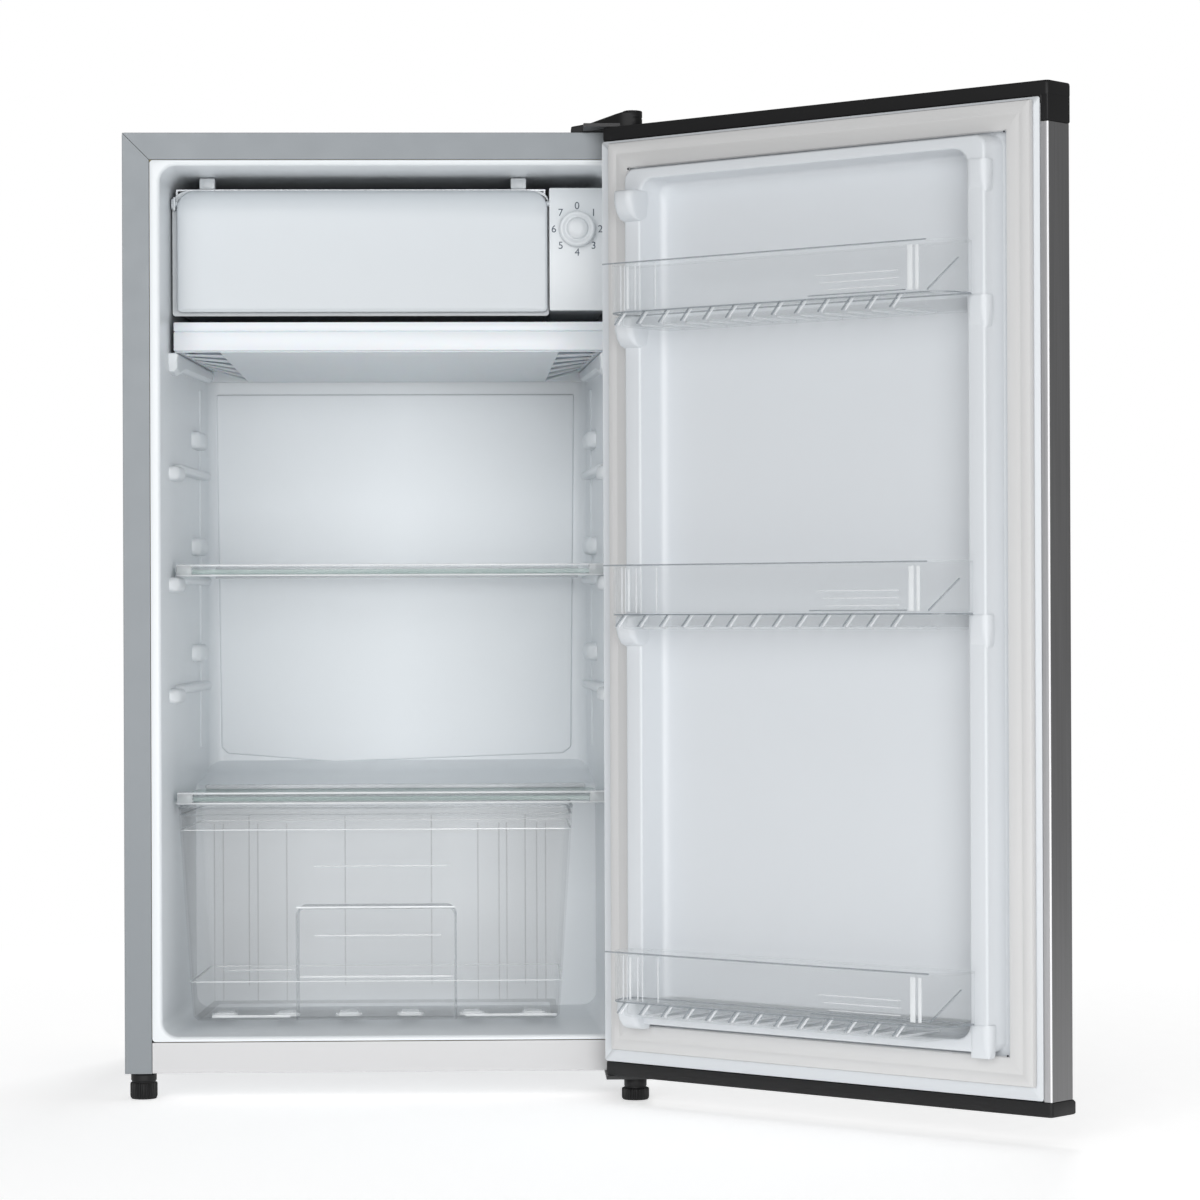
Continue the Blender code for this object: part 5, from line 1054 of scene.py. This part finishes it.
def hinge_cover():
    """The black cover: a wedge that rises to a round boss with a seam round it."""
    work = bmesh.new()
    left, right, low = 162.4, 215.2, 850.4
    back = 29.0
    rings = []
    for x, front, high in ((left, 1.0, 855.0), (left + 1.2, 0.6, 855.4), (left + 16, -3.0, 857.6),
                           (left + 38, -34, 862.0), (right - 8, -38.4, 863.6), (right, -38.4, 863.6)):
        rings.append([(x, front, low), (x, back, low), (x, back, high - 1.2), (x, back - 1.2, high),
                      (x, front + 1.2, high), (x, front, high - 1.2)])
    loft(work, rings)
    boss = [(6.7, 850.4), (8.0, 850.4), (8.4, 851.0), (8.5, 857.6), (8.1, 858.0), (8.1, 858.6), (8.5, 859.0),
            (8.5, 863.8), (8.0, 864.6), (6.5, 865.0), (0.2, 865.0)]
    turned(work, boss, (215.2, -30, 0), "Z", 40)
    put("hinge_cover_top", work, "black", "cabinet", ("upper_hinge_cover",), sharp=35)


def fluted(work, centre, profile, flutes, depth):
    """A turned solid with flutes cut down its side where the profile says so."""
    rings = []
    sides = flutes * 4
    for radius, height, cut in profile:
        ring = []
        for i in range(sides):
            a = 2 * math.pi * i / sides
            r = radius - (depth * cut if i % 4 in (2, 3) else 0.0)
            ring.append((centre[0] + r * math.cos(a), centre[1] + r * math.sin(a), centre[2] + height))
        rings.append(ring)
    loft(work, rings)


def feet():
    """Two fluted levelling feet with threaded studs, and two plain rear feet."""
    work = bmesh.new()
    profile = [(9.6, 0.2, 0), (10.8, 0.2, 0), (11.6, 1.4, 1), (12.0, 3.0, 1), (12.0, 13.6, 1),
               (11.6, 14.4, 1), (10.4, 14.8, 0), (10.6, 16.0, 0), (11.3, 16.6, 0), (11.3, 21.4, 0),
               (10.6, 22.2, 0), (4.0, 22.3, 0), (4.0, 33.0, 0)]
    fluted(work, (-217.4, 18, 0), profile, 24, 1.0)
    put("levelling_foot_left", work, "black", "left_foot", ("left_front_foot",), sharp=30)
    work = bmesh.new()
    profile = [(9.6, 0.2, 0), (10.8, 0.2, 0), (11.6, 1.2, 1), (12.0, 2.4, 1), (12.0, 9.6, 1), (11.4, 10.4, 1),
               (9.8, 10.8, 0), (9.6, 12.0, 0), (9.9, 12.6, 0), (9.9, 18.0, 0), (9.2, 19.5, 0), (4.0, 19.6, 0),
               (4.0, 23.0, 0)]
    fluted(work, (215.2, -13, 0), profile, 24, 1.0)
    put("levelling_foot_right", work, "black", "right_foot", ("right_front_foot",), sharp=30)
    for side, word in SIDES.items():
        work = bmesh.new()
        rear = [(8.4, 0.2), (9.6, 0.6), (10.2, 2.0), (10.6, 14), (11.8, 15), (12.0, 16), (12.0, 22.8),
                (11.4, 23.6), (0.2, 23.6)]
        turned(work, rear, (side * 204.5, 380, 0), "Z", 32)
        put(f"rear_foot_{word}", work, "black", "cabinet", (word + "_rear_foot",), sharp=40)


def machinery():
    """The compressor's pressed pot with its weld seam, and the back sheet."""
    low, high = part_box("compressor")
    inverse = CABINET.inverted()
    low, high = inverse @ low, inverse @ high
    centre = ((low.x + high.x) / 2, (low.y + high.y) / 2, low.z)
    height = high.z - low.z
    work = bmesh.new()
    profile = [(44.8, 0.1), (47, 18), (49, 44), (49.8, 53), (50.4, 55), (52.6, 55.4), (52.8, 56.6),
               (52.6, 58.0), (50.4, 58.4), (50, 62), (49.9, height - 34)]
    profile += [(49.9 * math.cos(a), height - 32.2 + 32 * math.sin(a)) for a in quarter(8)[1:-1]]
    profile += [(0.2, height - 0.2)]
    turned(work, profile, centre, "Z", 48)
    put("compressor_pot", work, "black_steel", "cabinet", ("compressor",), sharp=40)
    work = bmesh.new()
    loft(work, [ring_y(-228.4, 228.4, 242.2, 845.8, 3, y, 4) for y in (408.4, 409.2)])
    put("back_sheet", work, "paint", "cabinet", ("back_panel",), bevel=0.2)


# --- CAD nodes that stay


def insulation():
    """The poured foam inside the cabinet's walls and inside the door, as its boards and slab."""
    work = bmesh.new()
    boxes(work, (((-230.5, 5, 55), (-205, 404, 846)), ((205, 5, 55), (230.5, 404, 846)),
                 ((-204, 5, 827), (204, 404, 846)), ((-204, 375, 243), (204, 404, 826)),
                 ((-204, 40, 27), (204, 284, 52)), ((-186, 262, 100), (186, 283, 250))), 2.0)
    put("cabinet_insulation", work, "foam", "cabinet", ("cabinet_foam",))
    work = bmesh.new()
    block(work, (DOOR_FREE_EDGE + 9, DOOR_FRONT + 1.5, DOOR_LOW + 2),
                (DOOR_HINGE_EDGE - 9, 12.0, DOOR_HIGH - 2), 2.0)
    put("door_insulation", work, "foam", "door", ("door_foam",))


KEPT = {
    "zinc": ["base_plate", "bay_panel", "corner_bracket", "thermostat_body"],
    "black_steel": ["compressor_plate", "upper_hinge_bracket", "lower_hinge_bracket"],
    "rubber": [f"compressor_grommet_{index}" for index in range(1, 5)],
    "black": ["relay_cover"],
    "copper": ["condenser_tube", "capillary_tube", "discharge_tube", "suction_tube", "filter_drier"],
    "aluminium": ["evaporator"],
    "bright": ["upper_hinge_screw_1", "upper_hinge_screw_2", "lower_hinge_screw_1", "lower_hinge_screw_2"],
    "moulded": ["upper_hinge_bush", "lower_hinge_bush"],
}


def dress_kept_nodes():
    """Gives the carried-over solids their materials and soft edges."""
    for key, names in KEPT.items():
        for name in names:
            node = nodes[name]
            node.data.materials.clear()
            node.data.materials.append(MATERIALS[key])
            if key in ("zinc", "black_steel", "black", "bright"):
                soften(node, 0.25, 2, 50)


# --- studio


def studio():
    """A pale floor under soft light from all round, with large soft boxes in front and one behind."""
    scene = bpy.context.scene
    scene.view_settings.view_transform = "Standard"
    world = bpy.data.worlds.new("studio_white")
    world.use_nodes = True
    tree = world.node_tree
    dim, backdrop = tree.nodes["Background"], tree.nodes.new("ShaderNodeBackground")
    for node, strength in ((dim, AMBIENT), (backdrop, 1.0)):
        node.inputs["Color"].default_value = (1.0, 1.0, 1.0, 1)
        node.inputs["Strength"].default_value = strength
    path = tree.nodes.new("ShaderNodeLightPath")
    mix = tree.nodes.new("ShaderNodeMixShader")
    tree.links.new(path.outputs["Is Camera Ray"], mix.inputs["Fac"])
    tree.links.new(dim.outputs["Background"], mix.inputs[1])
    tree.links.new(backdrop.outputs["Background"], mix.inputs[2])
    tree.links.new(mix.outputs["Shader"], tree.nodes["World Output"].inputs["Surface"])
    scene.world = world
    floor_material = surface("floor_white", (0.92, 0.92, 0.92), 0.8, 200, 0.01, 0.004,
                             Emission_Color=(1.0, 1.0, 1.0, 1.0), Emission_Strength=FLOOR_GLOW)
    work = bmesh.new()
    bmesh.ops.create_circle(work, cap_ends=True, segments=128, radius=FLOOR_RADIUS)
    mesh = bpy.data.meshes.new("studio_floor")
    work.to_mesh(mesh)
    work.free()
    mesh.materials.append(floor_material)
    floor = bpy.data.objects.new("studio_floor", mesh)
    scene.collection.objects.link(floor)
    for name, place, aim, size, power in LIGHTS:
        light = bpy.data.lights.new(name, "AREA")
        light.energy, light.size = power, size
        holder = bpy.data.objects.new(name, light)
        holder.location = place
        holder.rotation_euler = (Vector(aim) - Vector(place)).to_track_quat("-Z", "Y").to_euler()
        scene.collection.objects.link(holder)


def camera():
    """A long lens a little right of the cabinet's middle, level with its centre."""
    yaw, pitch, roll = math.radians(1.648), math.radians(-0.160), math.radians(-0.217)
    forward = Vector((math.sin(yaw) * math.cos(pitch), math.cos(yaw) * math.cos(pitch), -math.sin(pitch)))
    right = Vector((math.cos(yaw), -math.sin(yaw), 0))
    up = right.cross(forward)
    level_right = right * math.cos(roll) + up * math.sin(roll)
    level_up = up * math.cos(roll) - right * math.sin(roll)
    data = bpy.data.cameras.new("camera")
    data.sensor_width = 36
    data.lens = 116.9
    data.clip_end = 50
    holder = bpy.data.objects.new("camera", data)
    turn = Matrix((level_right, level_up, -forward)).transposed().to_4x4()
    place = CABINET @ Vector((87.4, -3430.5, 428.4))
    holder.matrix_world = Matrix.Translation(place) @ turn
    bpy.context.scene.collection.objects.link(holder)
    bpy.context.scene.camera = holder


cabinet_shell()
cavity()
base_rail()
flap()
flap_frame()
thermostat()
drip_tray()
shelf("upper_shelf", 463, 338)
shelf("lower_shelf", 258, 248)
drawer()
door_shell()
free_edge()
door_caps()
door_inner()
gasket()
for bin_name, bin_underside in BINS:
    door_bin(bin_name, bin_underside)
hinge_cover()
feet()
machinery()
insulation()
dress_kept_nodes()
studio()
camera()
